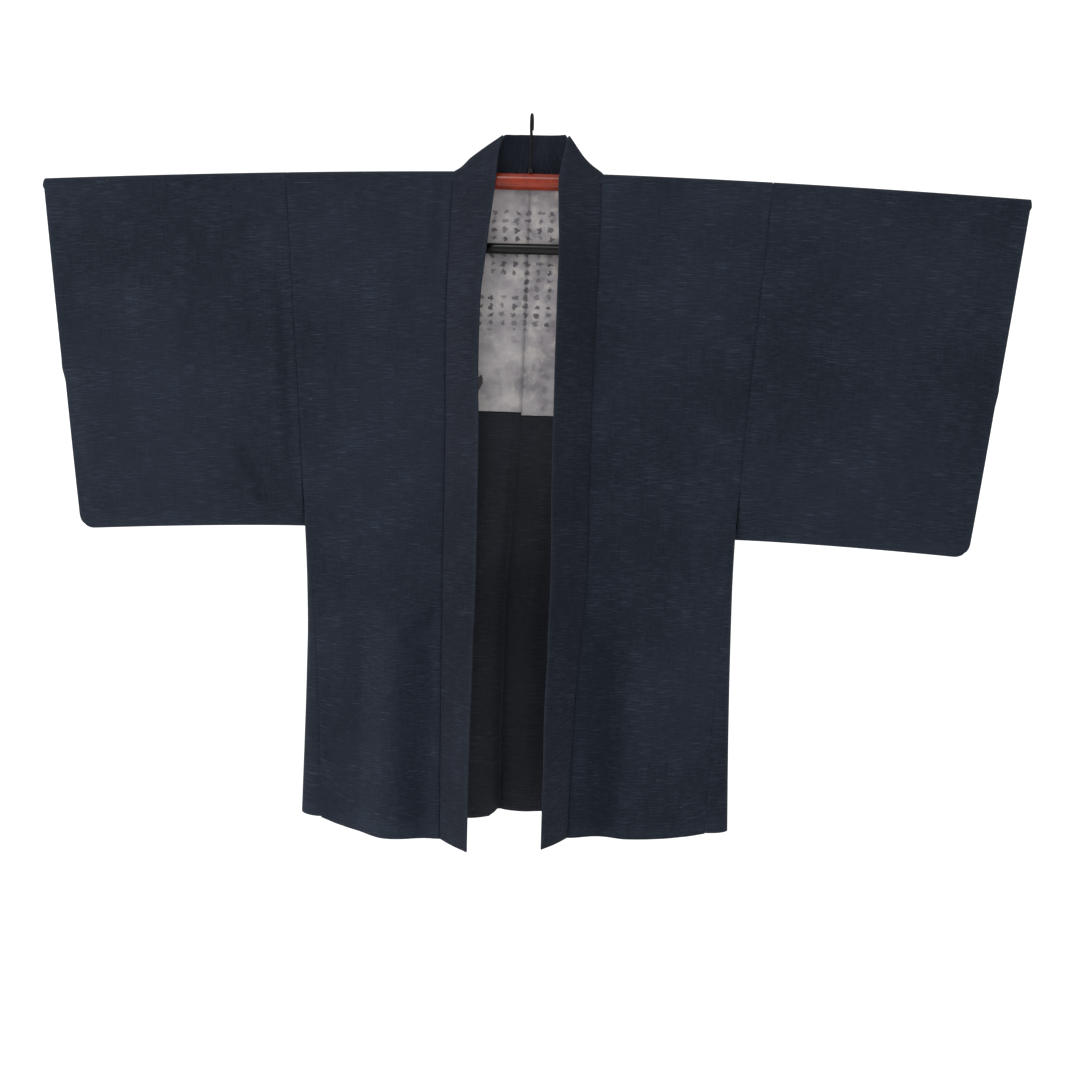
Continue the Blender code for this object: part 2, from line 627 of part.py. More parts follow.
def main():
    for old in list(bpy.data.objects):
        bpy.data.objects.remove(old, do_unlink=True)
    navy = material("navy_tsumugi", (0.018, 0.026, 0.038), 0.85)
    band = material("navy_tsumugi_band", (0.020, 0.028, 0.040), 0.85)
    grey = material("grey_silk_lining", (0.30, 0.285, 0.295), 0.55)
    vermilion = material("vermilion_plastic", (0.55, 0.065, 0.018), 0.35)
    black = material("black_plastic", (0.012, 0.010, 0.011), 0.4)
    steel = material("dark_steel_wire", (0.05, 0.05, 0.055), 0.35, 1.0)
    hanger(vermilion, black, steel)
    collar("collar", band)
    for side, word in ((RIGHT, "right"), (LEFT, "left")):
        body_half("body_" + word, side, navy)
        sleeve("sleeve_" + word, side, navy)
        gusset("gusset_" + word, side, navy)
        end = LINING_END[side]
        back_layer("lining_" + word, side, grey, LINING_CLOTH, (*LINING_ROWS, end))
        back_layer("hem_facing_" + word, side, navy, LINING_CLOTH, (end + FACING_LAP, *FACING_ROWS))


main()
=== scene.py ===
# %% [markdown]
# ## A haori, hung open on its hanger
# A haori is a lined jacket worn over a kimono. It is cut from one narrow bolt of cloth:
# two long body lengths that run over the shoulders without a seam, two sleeves, a narrow
# gusset at each side, and one doubled collar band that runs from hem to hem round the neck.
# This one is tsumugi, a matt silk woven from uneven spun yarn, with a grey silk lining.
# Cloth that is sewn flat like this is easiest to make as surfaces worked out from a few
# tables of sizes, one row for a level, with every fold put in one by one afterwards.

# %% The frame that everything is placed in
import math
from collections import namedtuple

import bmesh
import bpy
from mathutils import Matrix, Vector, noise


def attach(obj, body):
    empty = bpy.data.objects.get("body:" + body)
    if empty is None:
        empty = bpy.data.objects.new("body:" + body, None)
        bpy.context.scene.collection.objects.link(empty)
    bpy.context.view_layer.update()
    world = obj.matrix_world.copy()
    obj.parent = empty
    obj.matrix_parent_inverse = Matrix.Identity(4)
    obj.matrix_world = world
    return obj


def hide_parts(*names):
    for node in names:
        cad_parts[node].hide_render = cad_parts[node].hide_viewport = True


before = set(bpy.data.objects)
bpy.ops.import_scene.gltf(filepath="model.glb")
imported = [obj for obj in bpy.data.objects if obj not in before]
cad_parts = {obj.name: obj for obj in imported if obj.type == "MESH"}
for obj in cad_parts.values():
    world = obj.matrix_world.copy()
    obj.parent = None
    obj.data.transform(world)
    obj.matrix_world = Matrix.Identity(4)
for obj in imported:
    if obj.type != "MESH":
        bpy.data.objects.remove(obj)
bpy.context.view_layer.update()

MM = 0.001
RIGHT = -1      # the wearer's right, at -x
LEFT = 1
HOOK_RISE = 77.0
WORDS = {RIGHT: "right", LEFT: "left"}

# %% [markdown]
# ## The camera
# The camera stands level with the waist, a little to one side, and is rolled by the
# slight lean of the hanging jacket. A long lens from 2.45 m keeps the sleeves undistorted.

# %% Camera
CAMERA_AT = (0.1813, -2.4454, -0.5826)
CAMERA_TURN = 3.53
CAMERA_ROLL = 1.94
lens = bpy.data.cameras.new("camera")
lens.lens = 59.38
lens.sensor_width = 36.0
camera = bpy.data.objects.new("camera", lens)
bpy.context.collection.objects.link(camera)
turned = Matrix.Rotation(math.radians(CAMERA_TURN), 4, "Z")
level = Matrix.Rotation(math.radians(90.0), 4, "X")
rolled = Matrix.Rotation(math.radians(CAMERA_ROLL), 4, "Z")
camera.matrix_world = Matrix.Translation(CAMERA_AT) @ turned @ level @ rolled
bpy.context.scene.camera = camera
bpy.context.scene.view_settings.view_transform = "Standard"
print("camera at", CAMERA_AT)

# %% [markdown]
# ## The cut and the hang
# A kimono maker works from a short list of measures. The same list drives the cloth here,
# with a few columns more for how each edge hangs: where the collar seam and the side seam
# lie at each level, and how far the collar band turns towards the viewer.

# %% Measures of the jacket, in millimetres
HALF_SPAN = 679.0
TIP_DROOP = 23.0
DROOP_POWER = 1.62
FRONT_LENGTH = 905.0
BACK_LENGTH = 887.0
STRETCH_START = 500.0
CLOTH = 1.6
BAND_CLOTH = 2.4
LINING_CLOTH = 1.0
SEAM_GAP = 0.3
ARMHOLE_GAP = 0.7
FOLD_RADIUS = 12.4
BAND_WIDTH = 60.5
BAND_SAG = 9.0
NECK_DEEPEN = 4.2
NECK_FADE = 150.0
ARMHOLE_END = 430.0
SLEEVE_END = 496.0
CUFF_END = 510.0
CORNER_RADIUS = 18.0
CUFF_OPEN = 0.525
ARM_OPEN = 0.865
EDGE_HALF = 1.6
STEP_OUT = 1.8
LINING_END = {RIGHT: 329.0, LEFT: 333.0}
NECK_SLIT = 102.0
PANEL_WIDTH = 215.0
SLEEVE_WIDTH = 345.0
SLEEVE_DROP = 480.0
SEAM_CURVE = 1.2
BACK_FADE_X = 300.0
NECK_EDGE_X = 104.0
NECK_EDGE_FADE = 24.0
BACK_STRETCH_FROM = 600.0

# %% How the fronts hang, one row for a level
Level = namedtuple("Level", "drop seam_x seam_y turn side_x side_y")
FRONTS = {
    RIGHT: (
        Level(0.0, 105.6, -12.4, 3.0, 337.2, -12.4),
        Level(12.4, 105.8, -12.4, 7.0, 336.2, -12.4),
        Level(40.0, 106.4, -12.6, 14.0, 333.8, -12.6),
        Level(110.0, 108.0, -13.0, 26.5, 327.6, -12.8),
        Level(178.0, 108.7, -14.0, 33.8, 321.4, -12.8),
        Level(275.0, 106.6, -15.5, 36.0, 312.6, -12.6),
        Level(370.0, 103.4, -18.0, 35.5, 304.0, -12.2),
        Level(430.0, 102.3, -20.0, 35.0, 298.6, -12.0),
        Level(535.0, 100.3, -24.0, 34.8, 284.4, -12.6),
        Level(655.0, 97.4, -29.5, 38.6, 271.6, -13.8),
        Level(727.0, 95.3, -33.0, 40.6, 266.0, -14.6),
        Level(820.0, 92.4, -38.0, 42.8, 260.4, -15.8),
        Level(905.0, 89.2, -42.0, 44.3, 256.6, -17.0),
    ),
    LEFT: (
        Level(0.0, 100.3, -12.4, 3.0, 332.6, -12.4),
        Level(12.4, 100.3, -12.4, 7.0, 331.6, -12.4),
        Level(40.0, 100.2, -12.6, 15.0, 329.4, -12.6),
        Level(110.0, 99.4, -13.0, 26.0, 323.8, -12.8),
        Level(178.0, 98.0, -14.0, 29.0, 318.6, -12.8),
        Level(275.0, 96.2, -15.5, 33.0, 311.2, -12.6),
        Level(370.0, 95.7, -18.0, 34.5, 304.0, -12.2),
        Level(430.0, 96.2, -20.0, 35.0, 299.6, -12.0),
        Level(535.0, 97.6, -24.0, 37.4, 288.6, -12.6),
        Level(655.0, 91.0, -29.5, 44.6, 279.0, -13.8),
        Level(727.0, 87.0, -33.0, 47.6, 275.4, -14.6),
        Level(820.0, 84.8, -38.0, 49.9, 271.0, -15.8),
        Level(905.0, 83.2, -42.0, 51.5, 268.0, -17.0),
    ),
}
Hem = namedtuple("Hem", "share right_drop left_drop")
FRONT_HEM = (
    Hem(0.0, 914.5, 905.5),
    Hem(0.45, 915.5, 905.5),
    Hem(0.69, 911.0, 904.0),
    Hem(0.87, 904.5, 900.5),
    Hem(1.0, 896.5, 896.0),
)

# %% How the back hangs
BackLevel = namedtuple("BackLevel", "drop centre_x middle_y side_y wave")
BACK = (
    BackLevel(12.4, 0.0, 12.4, 12.4, 0.0),
    BackLevel(40.0, -0.3, 13.6, 12.8, 0.0),
    BackLevel(178.0, -0.8, 14.6, 12.8, 0.03),
    BackLevel(335.0, -2.4, 15.6, 12.4, 0.11),
    BackLevel(430.0, -6.4, 16.4, 12.0, 0.3),
    BackLevel(500.0, -10.2, 17.0, 12.4, 0.5),
    BackLevel(605.0, -15.4, 18.0, 13.0, 0.7),
    BackLevel(753.0, -15.2, 19.0, 14.0, 0.88),
    BackLevel(BACK_LENGTH, -13.8, 20.0, 15.0, 1.0),
)
Wave = namedtuple("Wave", "off_centre push")
BACK_WAVE = (
    Wave(-150.0, 0.0),
    Wave(-92.0, 8.0),
    Wave(-45.0, -29.0),
    Wave(-16.0, -15.0),
    Wave(-3.0, 15.0),
    Wave(10.0, 2.0),
    Wave(30.0, -4.0),
    Wave(60.0, 9.0),
    Wave(90.0, 10.0),
    Wave(150.0, 0.0),
)
BackHem = namedtuple("BackHem", "off_centre drop")
BACK_HEM = (
    BackHem(-272.0, 887.0),
    BackHem(-90.0, 889.0),
    BackHem(-40.0, 889.5),
    BackHem(-14.0, 888.0),
    BackHem(-3.0, 881.0),
    BackHem(60.0, 881.5),
    BackHem(150.0, 885.0),
    BackHem(290.0, 889.0),
)

# %% Broad folds of the fronts, the neck, the gussets and the sleeves
Fold = namedtuple("Fold", "side x half_width push start full")
FRONT_FOLDS = (
    Fold(RIGHT, 158.0, 52.0, -24.0, 560.0, 690.0),
    Fold(RIGHT, 236.0, 34.0, 4.0, 620.0, 880.0),
    Fold(LEFT, 124.0, 38.0, 17.0, 430.0, 690.0),
    Fold(LEFT, 180.0, 58.0, -5.0, 600.0, 880.0),
)
Neck = namedtuple("Neck", "seam_x seam_turn right_x right_z left_x left_z free_y")
NECK = (
    Neck(1.0, 45.0, 43.5, 20.0, 46.0, 22.0, -16.5),
    Neck(1.0, 90.0, 38.2, 48.6, 51.6, 49.2, -9.0),
    Neck(1.0, 125.0, 45.5, 29.0, 49.6, 44.0, 3.0),
    Neck(0.97, 180.0, 36.6, 54.0, 44.6, 55.5, 14.0),
    Neck(0.72, 180.0, 25.0, 55.8, 34.0, 56.4, 21.5),
    Neck(0.38, 180.0, 13.0, 57.0, 20.0, 57.0, 26.0),
)
NECK_CENTRE_Y, NECK_CENTRE_Z = 28.0, 57.4
Gusset = namedtuple("Gusset", "drop right_fold left_fold fold_y")
GUSSET = (
    Gusset(436.0, 299.9, 301.0, 0.0),
    Gusset(500.0, 294.9, 296.4, 0.0),
    Gusset(575.0, 289.6, 295.0, 0.0),
    Gusset(655.0, 286.4, 295.2, -0.5),
    Gusset(755.0, 285.8, 296.4, -1.0),
    Gusset(889.0, 286.2, 299.4, -1.5),
)
GussetHem = namedtuple("GussetHem", "front fold back")
GUSSET_HEM = {RIGHT: GussetHem(895.0, 889.5, 887.0), LEFT: GussetHem(895.0, 892.0, 888.0)}
Wrist = namedtuple("Wrist", "drop x")
WRIST = (
    Wrist(0.0, 682.0),
    Wrist(23.0, 679.0),
    Wrist(275.0, 644.7),
    Wrist(490.0, 614.0),
    Wrist(512.0, 610.5),
)
Depth = namedtuple("Depth", "share half")
SLEEVE_DEPTH = (
    Depth(0.0, 12.4),
    Depth(0.3, 12.8),
    Depth(0.865, 12.0),
    Depth(0.93, 9.0),
    Depth(1.0, 3.0),
)
front_levels = sum(len(rows) for rows in FRONTS.values())
print("measures:", front_levels, "levels of the fronts,", len(BACK), "of the back")

# %% [markdown]
# ## Reading the tables
# A table gives a size at a few levels only. A smooth curve that never swings past its
# rows fills in the rest, because a swing would show as a ripple in the cloth.

# %% Smooth reading of a table
def follow(table, key, column, at):
    """Read a table's column at any value of its key, on a smooth curve with no overshoot."""
    keys = [getattr(row, key) for row in table]
    values = [getattr(row, column) for row in table]
    if at <= keys[0]:
        return values[0]
    if at >= keys[-1]:
        return values[-1]
    slopes = [(values[i + 1] - values[i]) / (keys[i + 1] - keys[i]) for i in range(len(keys) - 1)]
    pulls = [slopes[0]]
    for before, after in zip(slopes, slopes[1:]):
        pulls.append(2.0 * before * after / (before + after) if before * after > 0.0 else 0.0)
    pulls.append(slopes[-1])
    i = max(k for k in range(len(slopes)) if keys[k] <= at)
    width = keys[i + 1] - keys[i]
    t = (at - keys[i]) / width
    start = values[i] * (1 + 2 * t) * (1 - t) ** 2 + pulls[i] * width * t * (1 - t) ** 2
    end = values[i + 1] * t * t * (3 - 2 * t) + pulls[i + 1] * width * t * t * (t - 1)
    return start + end


def ease(value):
    """Rise smoothly from 0 to 1."""
    value = min(max(value, 0.0), 1.0)
    return value * value * (3.0 - 2.0 * value)


def steps(start, end, size):
    """Even steps from start to end, each about size long, both ends included."""
    count = max(1, round(abs(end - start) / size))
    return [start + (end - start) * i / count for i in range(count + 1)]

# %% The shoulder line, and a row's level
def shoulder(x):
    """Level of the shoulder line, which falls away towards the sleeve tips."""
    return -TIP_DROOP * (abs(x) / HALF_SPAN) ** DROOP_POWER


def place(x, y, z):
    """Turn a garment point into a point of the model's frame."""
    return Vector((x, y, z - HOOK_RISE)) * MM


def over_arm(x, turn, tuck=0.0):
    """A point of the fold over the hanger's arm; turn 0 is its front, 180 its back."""
    angle = math.radians(turn)
    centre = shoulder(x) - CLOTH / 2 - FOLD_RADIUS
    radius = FOLD_RADIUS - tuck
    return x, -radius * math.cos(angle), centre + radius * math.sin(angle)


def level_of(x, drop):
    """Level of a row: it follows the shoulder line at the top and is level from the underarm."""
    return shoulder(x) * (1.0 - ease(drop / SLEEVE_END)) - CLOTH / 2 - drop


def drop_of(x, z):
    """The row that runs through a level."""
    return -z - CLOTH / 2 + shoulder(x) * (1.0 - ease(-z / SLEEVE_END))

# %% Points of the fronts and of the back
def front_point(side, share, drop, past=0.0):
    """A point of the front panel, from the collar seam (share 0) to the side seam (share 1)."""
    table = FRONTS[side]
    seam_x = follow(table, "drop", "seam_x", drop)
    side_x = follow(table, "drop", "side_x", drop)
    out = seam_x + share * (side_x - seam_x) + past
    seam_y = follow(table, "drop", "seam_y", drop)
    side_y = follow(table, "drop", "side_y", drop)
    y = side_y + (seam_y - side_y) * (1.0 - share) ** SEAM_CURVE
    for fold in FRONT_FOLDS:
        if fold.side == side:
            reach = max(0.0, 1.0 - ((out - fold.x) / fold.half_width) ** 2) ** 2
            y += fold.push * reach * ease((drop - fold.start) / (fold.full - fold.start))
    column = "right_drop" if side == RIGHT else "left_drop"
    stretch = follow(FRONT_HEM, "share", column, share) / FRONT_LENGTH - 1.0
    lengthen = stretch * ease((drop - STRETCH_START) / (FRONT_LENGTH - STRETCH_START))
    return side * out, y, level_of(out, drop) - drop * lengthen


def back_y(x, drop):
    """How far behind the arms the back panel hangs."""
    middle = follow(BACK, "drop", "middle_y", drop)
    edge = follow(BACK, "drop", "side_y", drop)
    y = edge + (middle - edge) * (1.0 - ease(abs(x) / BACK_FADE_X))
    off_centre = x - follow(BACK, "drop", "centre_x", drop)
    y += follow(BACK_WAVE, "off_centre", "push", off_centre) * follow(BACK, "drop", "wave", drop)
    neck = NECK_DEEPEN * ease((NECK_EDGE_X - abs(x)) / NECK_EDGE_FADE)
    return y + neck * (1.0 - ease((drop - FOLD_RADIUS) / NECK_FADE))


def back_side_x(side, drop):
    """Distance of the back panel's side seam from the centre."""
    if drop > BACK_STRETCH_FROM:
        drop = drop * FRONT_LENGTH / BACK_LENGTH
    return follow(FRONTS[side], "drop", "side_x", drop)


def back_x(side, inner, share, drop, past=0.0):
    """Across the back: inner runs from the centre seam to the neck point, share from there out."""
    centre = follow(BACK, "drop", "centre_x", drop)
    neck = side * FRONTS[side][0].seam_x
    outer = side * (back_side_x(side, drop) + past)
    return centre + inner * (neck - centre) if share is None else neck + share * (outer - neck)


def back_point(side, inner, share, drop, past=0.0):
    """A point of the back panel."""
    x = back_x(side, inner, share, drop, past)
    off_centre = x - follow(BACK, "drop", "centre_x", drop)
    stretch = follow(BACK_HEM, "off_centre", "drop", off_centre) / BACK_LENGTH - 1.0
    lengthen = stretch * ease((drop - STRETCH_START) / (BACK_LENGTH - STRETCH_START))
    return x, back_y(x, drop), level_of(x, drop) - drop * lengthen

# %% [markdown]
# ## Creases put in one by one
# Hung silk is never flat. Each crease is a line on a panel with a width and a height:
# the cloth near the line rises or sinks in a soft bell shape, and the line fades at its
# ends. Between them lies a very shallow unevenness, longer down the cloth than across.

# %% Creases, by the side of the jacket and by the face that they lie on
FRONT, BEHIND = -1, 1
Crease = namedtuple("Crease", "side face width height path")
CREASES = (
    Crease(RIGHT, FRONT, 9.0, -3.8, ((-92, -600), (-118, -628), (-152, -656))),
    Crease(RIGHT, FRONT, 9.0, 3.2, ((-104, -588), (-132, -612), (-172, -638))),
    Crease(RIGHT, FRONT, 17.0, -2.4, ((-150, -656), (-142, -730), (-132, -810), (-120, -900))),
    Crease(RIGHT, FRONT, 18.0, 1.8, ((-182, -650), (-178, -770), (-170, -900))),
    Crease(RIGHT, FRONT, 8.0, 2.0, ((-114, -478), (-150, -492), (-186, -508))),
    Crease(RIGHT, FRONT, 8.0, -2.0, ((-112, -492), (-150, -508), (-180, -522))),
    Crease(RIGHT, FRONT, 8.0, -2.4, ((-118, 0), (-120, -60), (-120, -130))),
    Crease(RIGHT, FRONT, 10.0, 1.6, ((-136, -20), (-140, -90), (-150, -170))),
    Crease(RIGHT, FRONT, 9.0, -2.6, ((-337, -150), (-326, -280), (-314, -400), (-308, -470))),
    Crease(RIGHT, FRONT, 8.0, 2.0, ((-352, -170), (-340, -300), (-330, -410))),
    Crease(RIGHT, FRONT, 9.0, -2.4, ((-388, -380), (-366, -420), (-338, -474))),
    Crease(RIGHT, FRONT, 8.0, 2.2, ((-404, -392), (-382, -430), (-352, -484))),
    Crease(RIGHT, FRONT, 7.0, 1.8, ((-442, -444), (-400, -454), (-352, -466))),
    Crease(RIGHT, FRONT, 24.0, 2.4, ((-240, -560), (-236, -700), (-232, -880))),
    Crease(RIGHT, FRONT, 22.0, 2.0, ((-470, -120), (-476, -260), (-470, -420))),
    Crease(RIGHT, FRONT, 20.0, -1.8, ((-560, -90), (-556, -240), (-540, -420))),
    Crease(LEFT, FRONT, 9.0, -2.4, ((322, -140), (314, -280), (310, -400), (306, -470))),
    Crease(LEFT, FRONT, 9.0, 2.0, ((338, -160), (328, -300), (326, -420))),
    Crease(LEFT, FRONT, 9.0, -2.2, ((306, -430), (328, -456), (352, -484))),
    Crease(LEFT, FRONT, 8.0, 2.0, ((320, -420), (342, -446), (372, -478))),
    Crease(LEFT, FRONT, 20.0, -1.8, ((158, -540), (150, -700), (144, -880))),
    Crease(LEFT, FRONT, 10.0, -1.8, ((292, -500), (262, -560), (236, -640))),
    Crease(LEFT, FRONT, 9.0, 1.6, ((280, -470), (244, -520), (206, -560))),
    Crease(LEFT, FRONT, 12.0, 1.6, ((262, -660), (258, -760), (254, -880))),
    Crease(LEFT, FRONT, 16.0, 2.0, ((196, -520), (190, -700), (186, -880))),
    Crease(LEFT, FRONT, 24.0, -1.6, ((240, -240), (238, -420), (230, -600))),
    Crease(LEFT, FRONT, 22.0, 2.2, ((452, -110), (456, -280), (452, -440))),
    Crease(LEFT, FRONT, 18.0, -1.8, ((548, -80), (552, -240), (536, -420))),
    Crease(LEFT, BEHIND, 10.0, -2.6, ((322, -150), (314, -290), (306, -470))),
    Crease(LEFT, BEHIND, 10.0, 2.0, ((342, -170), (332, -300), (324, -440))),
    Crease(LEFT, BEHIND, 9.0, 2.4, ((120, -420), (170, -450), (236, -470))),
    Crease(LEFT, BEHIND, 12.0, -2.6, ((112, -520), (130, -660), (136, -870))),
    Crease(LEFT, BEHIND, 18.0, 2.4, ((190, -500), (196, -680), (198, -870))),
    Crease(LEFT, BEHIND, 20.0, -2.0, ((470, -120), (480, -270), (470, -430))),
    Crease(LEFT, BEHIND, 9.0, 2.2, ((330, -420), (350, -446), (384, -478))),
    Crease(RIGHT, BEHIND, 10.0, -2.6, ((-326, -150), (-316, -290), (-306, -470))),
    Crease(RIGHT, BEHIND, 10.0, 2.2, ((-344, -160), (-336, -300), (-326, -440))),
    Crease(RIGHT, BEHIND, 9.0, -2.2, ((-120, -440), (-176, -474), (-240, -494))),
    Crease(RIGHT, BEHIND, 14.0, 2.6, ((-160, -520), (-166, -680), (-170, -870))),
    Crease(RIGHT, BEHIND, 16.0, -2.2, ((-226, -460), (-222, -640), (-216, -860))),
    Crease(RIGHT, BEHIND, 22.0, 2.0, ((-480, -110), (-486, -260), (-478, -420))),
    Crease(RIGHT, BEHIND, 9.0, -2.2, ((-336, -430), (-360, -456), (-394, -484))),
)
CREASE_REACH = 3.0
END_FADE, END_START = 4.0, 0.15
CALM_FROM, CALM_OVER = 20.0, 120.0
DRIFT_HEIGHT, RIPPLE_HEIGHT = 1.5, 0.45


def near_line(x, z, path):
    """Distance from a point to a bent line, and the share of the line where it is nearest."""
    best = (1e9, 0.0)
    spans = [math.dist(a, b) for a, b in zip(path, path[1:])]
    done = 0.0
    for (ax, az), (bx, bz), span in zip(path, path[1:], spans):
        t = ((x - ax) * (bx - ax) + (z - az) * (bz - az)) / (span * span)
        t = min(max(t, 0.0), 1.0)
        away = math.hypot(x - ax - t * (bx - ax), z - az - t * (bz - az))
        best = min(best, (away, (done + t * span) / sum(spans)))
        done += span
    return best


def crease_height(side, face, x, z):
    """How far the creases and the slight unevenness lift the cloth off its panel."""
    height = 0.0
    for crease in CREASES:
        if crease.side != side or crease.face != face:
            continue
        away, along = near_line(x, z, crease.path)
        if away < CREASE_REACH * crease.width:
            fade = ease(along * END_FADE + END_START) * ease((1.0 - along) * END_FADE + END_START)
            height += crease.height * fade * math.exp(-((away / crease.width) ** 2))
    calm = ease((-z - CALM_FROM) / CALM_OVER)
    drift = noise.noise((x / 62.0, face * 7.0, z / 210.0)) * DRIFT_HEIGHT
    ripple = noise.noise((x / 24.0, face * 11.0, z / 90.0)) * RIPPLE_HEIGHT
    return height + calm * (drift + ripple)


print(len(CREASES), "creases")

# %% Panel points with their creases
ROLL_WIDTH = 2.6
ROLL_DEPTH = 1.3
ROLL_AT_GUSSET = 0.3
ROLL_FADE = 20.0
CENTRE_FADE = 30.0


def roll(off_seam):
    """How far the cloth turns in where it meets a seam."""
    return ROLL_DEPTH * max(0.0, 1.0 - off_seam / ROLL_WIDTH) ** 2


def roll_at_side(drop):
    """Share of the roll at the side seam: full along the armhole, slight along the gusset."""
    return ROLL_AT_GUSSET + (1.0 - ROLL_AT_GUSSET) * ease((ARMHOLE_END - drop) / ROLL_FADE)


def front_cloth(side, share, drop, past=0.0, tuck=0.0):
    """A point of the creased front, past millimetres beyond its side seam and tuck inside the wall."""
    x, y, z = front_point(side, share, drop, past)
    if not past:
        seam_x = follow(FRONTS[side], "drop", "seam_x", drop)
        wide = follow(FRONTS[side], "drop", "side_x", drop) - seam_x
        tuck = roll(share * wide) + roll((1.0 - share) * wide) * roll_at_side(drop)
    return x, y - crease_height(side, FRONT, x, z) + tuck, z


def back_cloth(side, inner, share, drop, past=0.0, tuck=0.0):
    """A point of the creased back."""
    x, y, z = back_point(side, inner, share, drop, past)
    near_centre = ease(abs(x - follow(BACK, "drop", "centre_x", drop)) / CENTRE_FADE)
    if share is not None and not past:
        tuck = roll((1.0 - share) * PANEL_WIDTH) * roll_at_side(drop)
    return x, y + near_centre * crease_height(side, BEHIND, x, z) - tuck, z

# %% [markdown]
# ## Writing materials as sums
# The cloth's colour is arithmetic on a few noise fields. A small class wraps one output of
# a node, so that a line such as slub = streak * (1 - gap) builds its Math nodes by itself.

# %% A shader value that Python's operators work on
class Value:
    """One output socket of a material's nodes."""

    def __init__(self, paint, socket):
        self.paint = paint
        self.socket = socket

    def math(self, operation, *others, swap=False):
        """A Math node on this value and the others; swap puts this value last."""
        terms = (*others, self) if swap else (self, *others)
        return self.paint.node("ShaderNodeMath", {"operation": operation}, dict(enumerate(terms)))

    def __add__(self, other):
        return self.math("ADD", other)

    def __radd__(self, other):
        return self.math("ADD", other, swap=True)

    def __sub__(self, other):
        return self.math("SUBTRACT", other)

    def __rsub__(self, other):
        return self.math("SUBTRACT", other, swap=True)

    def __mul__(self, other):
        return self.math("MULTIPLY", other)

    def __rmul__(self, other):
        return self.math("MULTIPLY", other, swap=True)

    def __truediv__(self, other):
        return self.math("DIVIDE", other)

    def __rtruediv__(self, other):
        return self.math("DIVIDE", other, swap=True)

    def step(self, low, high):
        """0 below low, 1 above high, smooth between."""
        settings = {"interpolation_type": "SMOOTHSTEP"}
        inputs = {"Value": self, "From Min": low, "From Max": high}
        return self.paint.node("ShaderNodeMapRange", settings, inputs)


class Paint:
    """A material and the one way to add nodes to it."""

    def __init__(self, name, **constants):
        self.material = bpy.data.materials.new(name)
        self.material.use_nodes = True
        self.tree = self.material.node_tree
        self.shader = self.tree.nodes["Principled BSDF"]
        for socket, value in constants.items():
            self.shader.inputs[socket.replace("_", " ")].default_value = value

    def node(self, kind, settings=None, inputs=None, output=0):
        """Add a node: first its settings, then the values or links of its sockets."""
        made = self.tree.nodes.new(kind)
        for name, value in (settings or {}).items():
            setattr(made, name, value)
        for name, value in (inputs or {}).items():
            if isinstance(value, Value):
                self.tree.links.new(value.socket, made.inputs[name])
            else:
                made.inputs[name].default_value = value
        return Value(self, made.outputs[output])

    def feed(self, **links):
        """Link values to the shader's sockets."""
        for socket, value in links.items():
            self.tree.links.new(value.socket, self.shader.inputs[socket.replace("_", " ")])

    def mix(self, share, first, second):
        """Mix two colours; sockets 0, 6 and 7 are the share and the two colours."""
        settings = {"data_type": "RGBA", "clamp_result": True}
        return self.node("ShaderNodeMix", settings, {0: share, 6: first, 7: second}, output=2)

    def cloth_places(self):
        """Across the cloth, and along it, in metres."""
        chart = self.node("ShaderNodeUVMap", {"uv_map": "cloth"})
        return (self.node("ShaderNodeSeparateXYZ", None, {0: chart}, output=axis) for axis in (0, 1))

    def object_places(self):
        """Place in the model's own frame, in metres."""
        return self.node("ShaderNodeTexCoord", output=3)

    def cell(self, x, y, z=0.0):
        """A vector made of three values."""
        return self.node("ShaderNodeCombineXYZ", None, {0: x, 1: y, 2: z})

    def noise(self, vector, scale, detail=2.0, roughness=0.5):
        """Soft noise, mostly between 0.3 and 0.7."""
        return self.node("ShaderNodeTexNoise", None, {
            "Vector": vector, "Scale": scale, "Detail": detail, "Roughness": roughness})

    def bump(self, height, distance, strength):
        """The normal of a surface with this height on it."""
        inputs = {"Height": height, "Distance": distance, "Strength": strength}
        return self.node("ShaderNodeBump", None, inputs)

# %% [markdown]
# ## Tsumugi, the navy cloth
# Tsumugi is woven from floss silk spun by hand, so its weft yarn is thick and thin. Thick
# places show as short pale dashes across the cloth, and joins as specks. The dashes are
# noise stretched some thirty times longer across than along, cut off at a threshold so that
# only the thickest places remain. The cloth is matt, with a faint bloom at grazing angles.

# %% Navy tsumugi
BRIGHT_YARN = (0.058, 0.074, 0.094, 1.0)
PALE_SPECK = (0.088, 0.106, 0.124, 1.0)
DARKER, LIGHTER = 0.62, 1.20


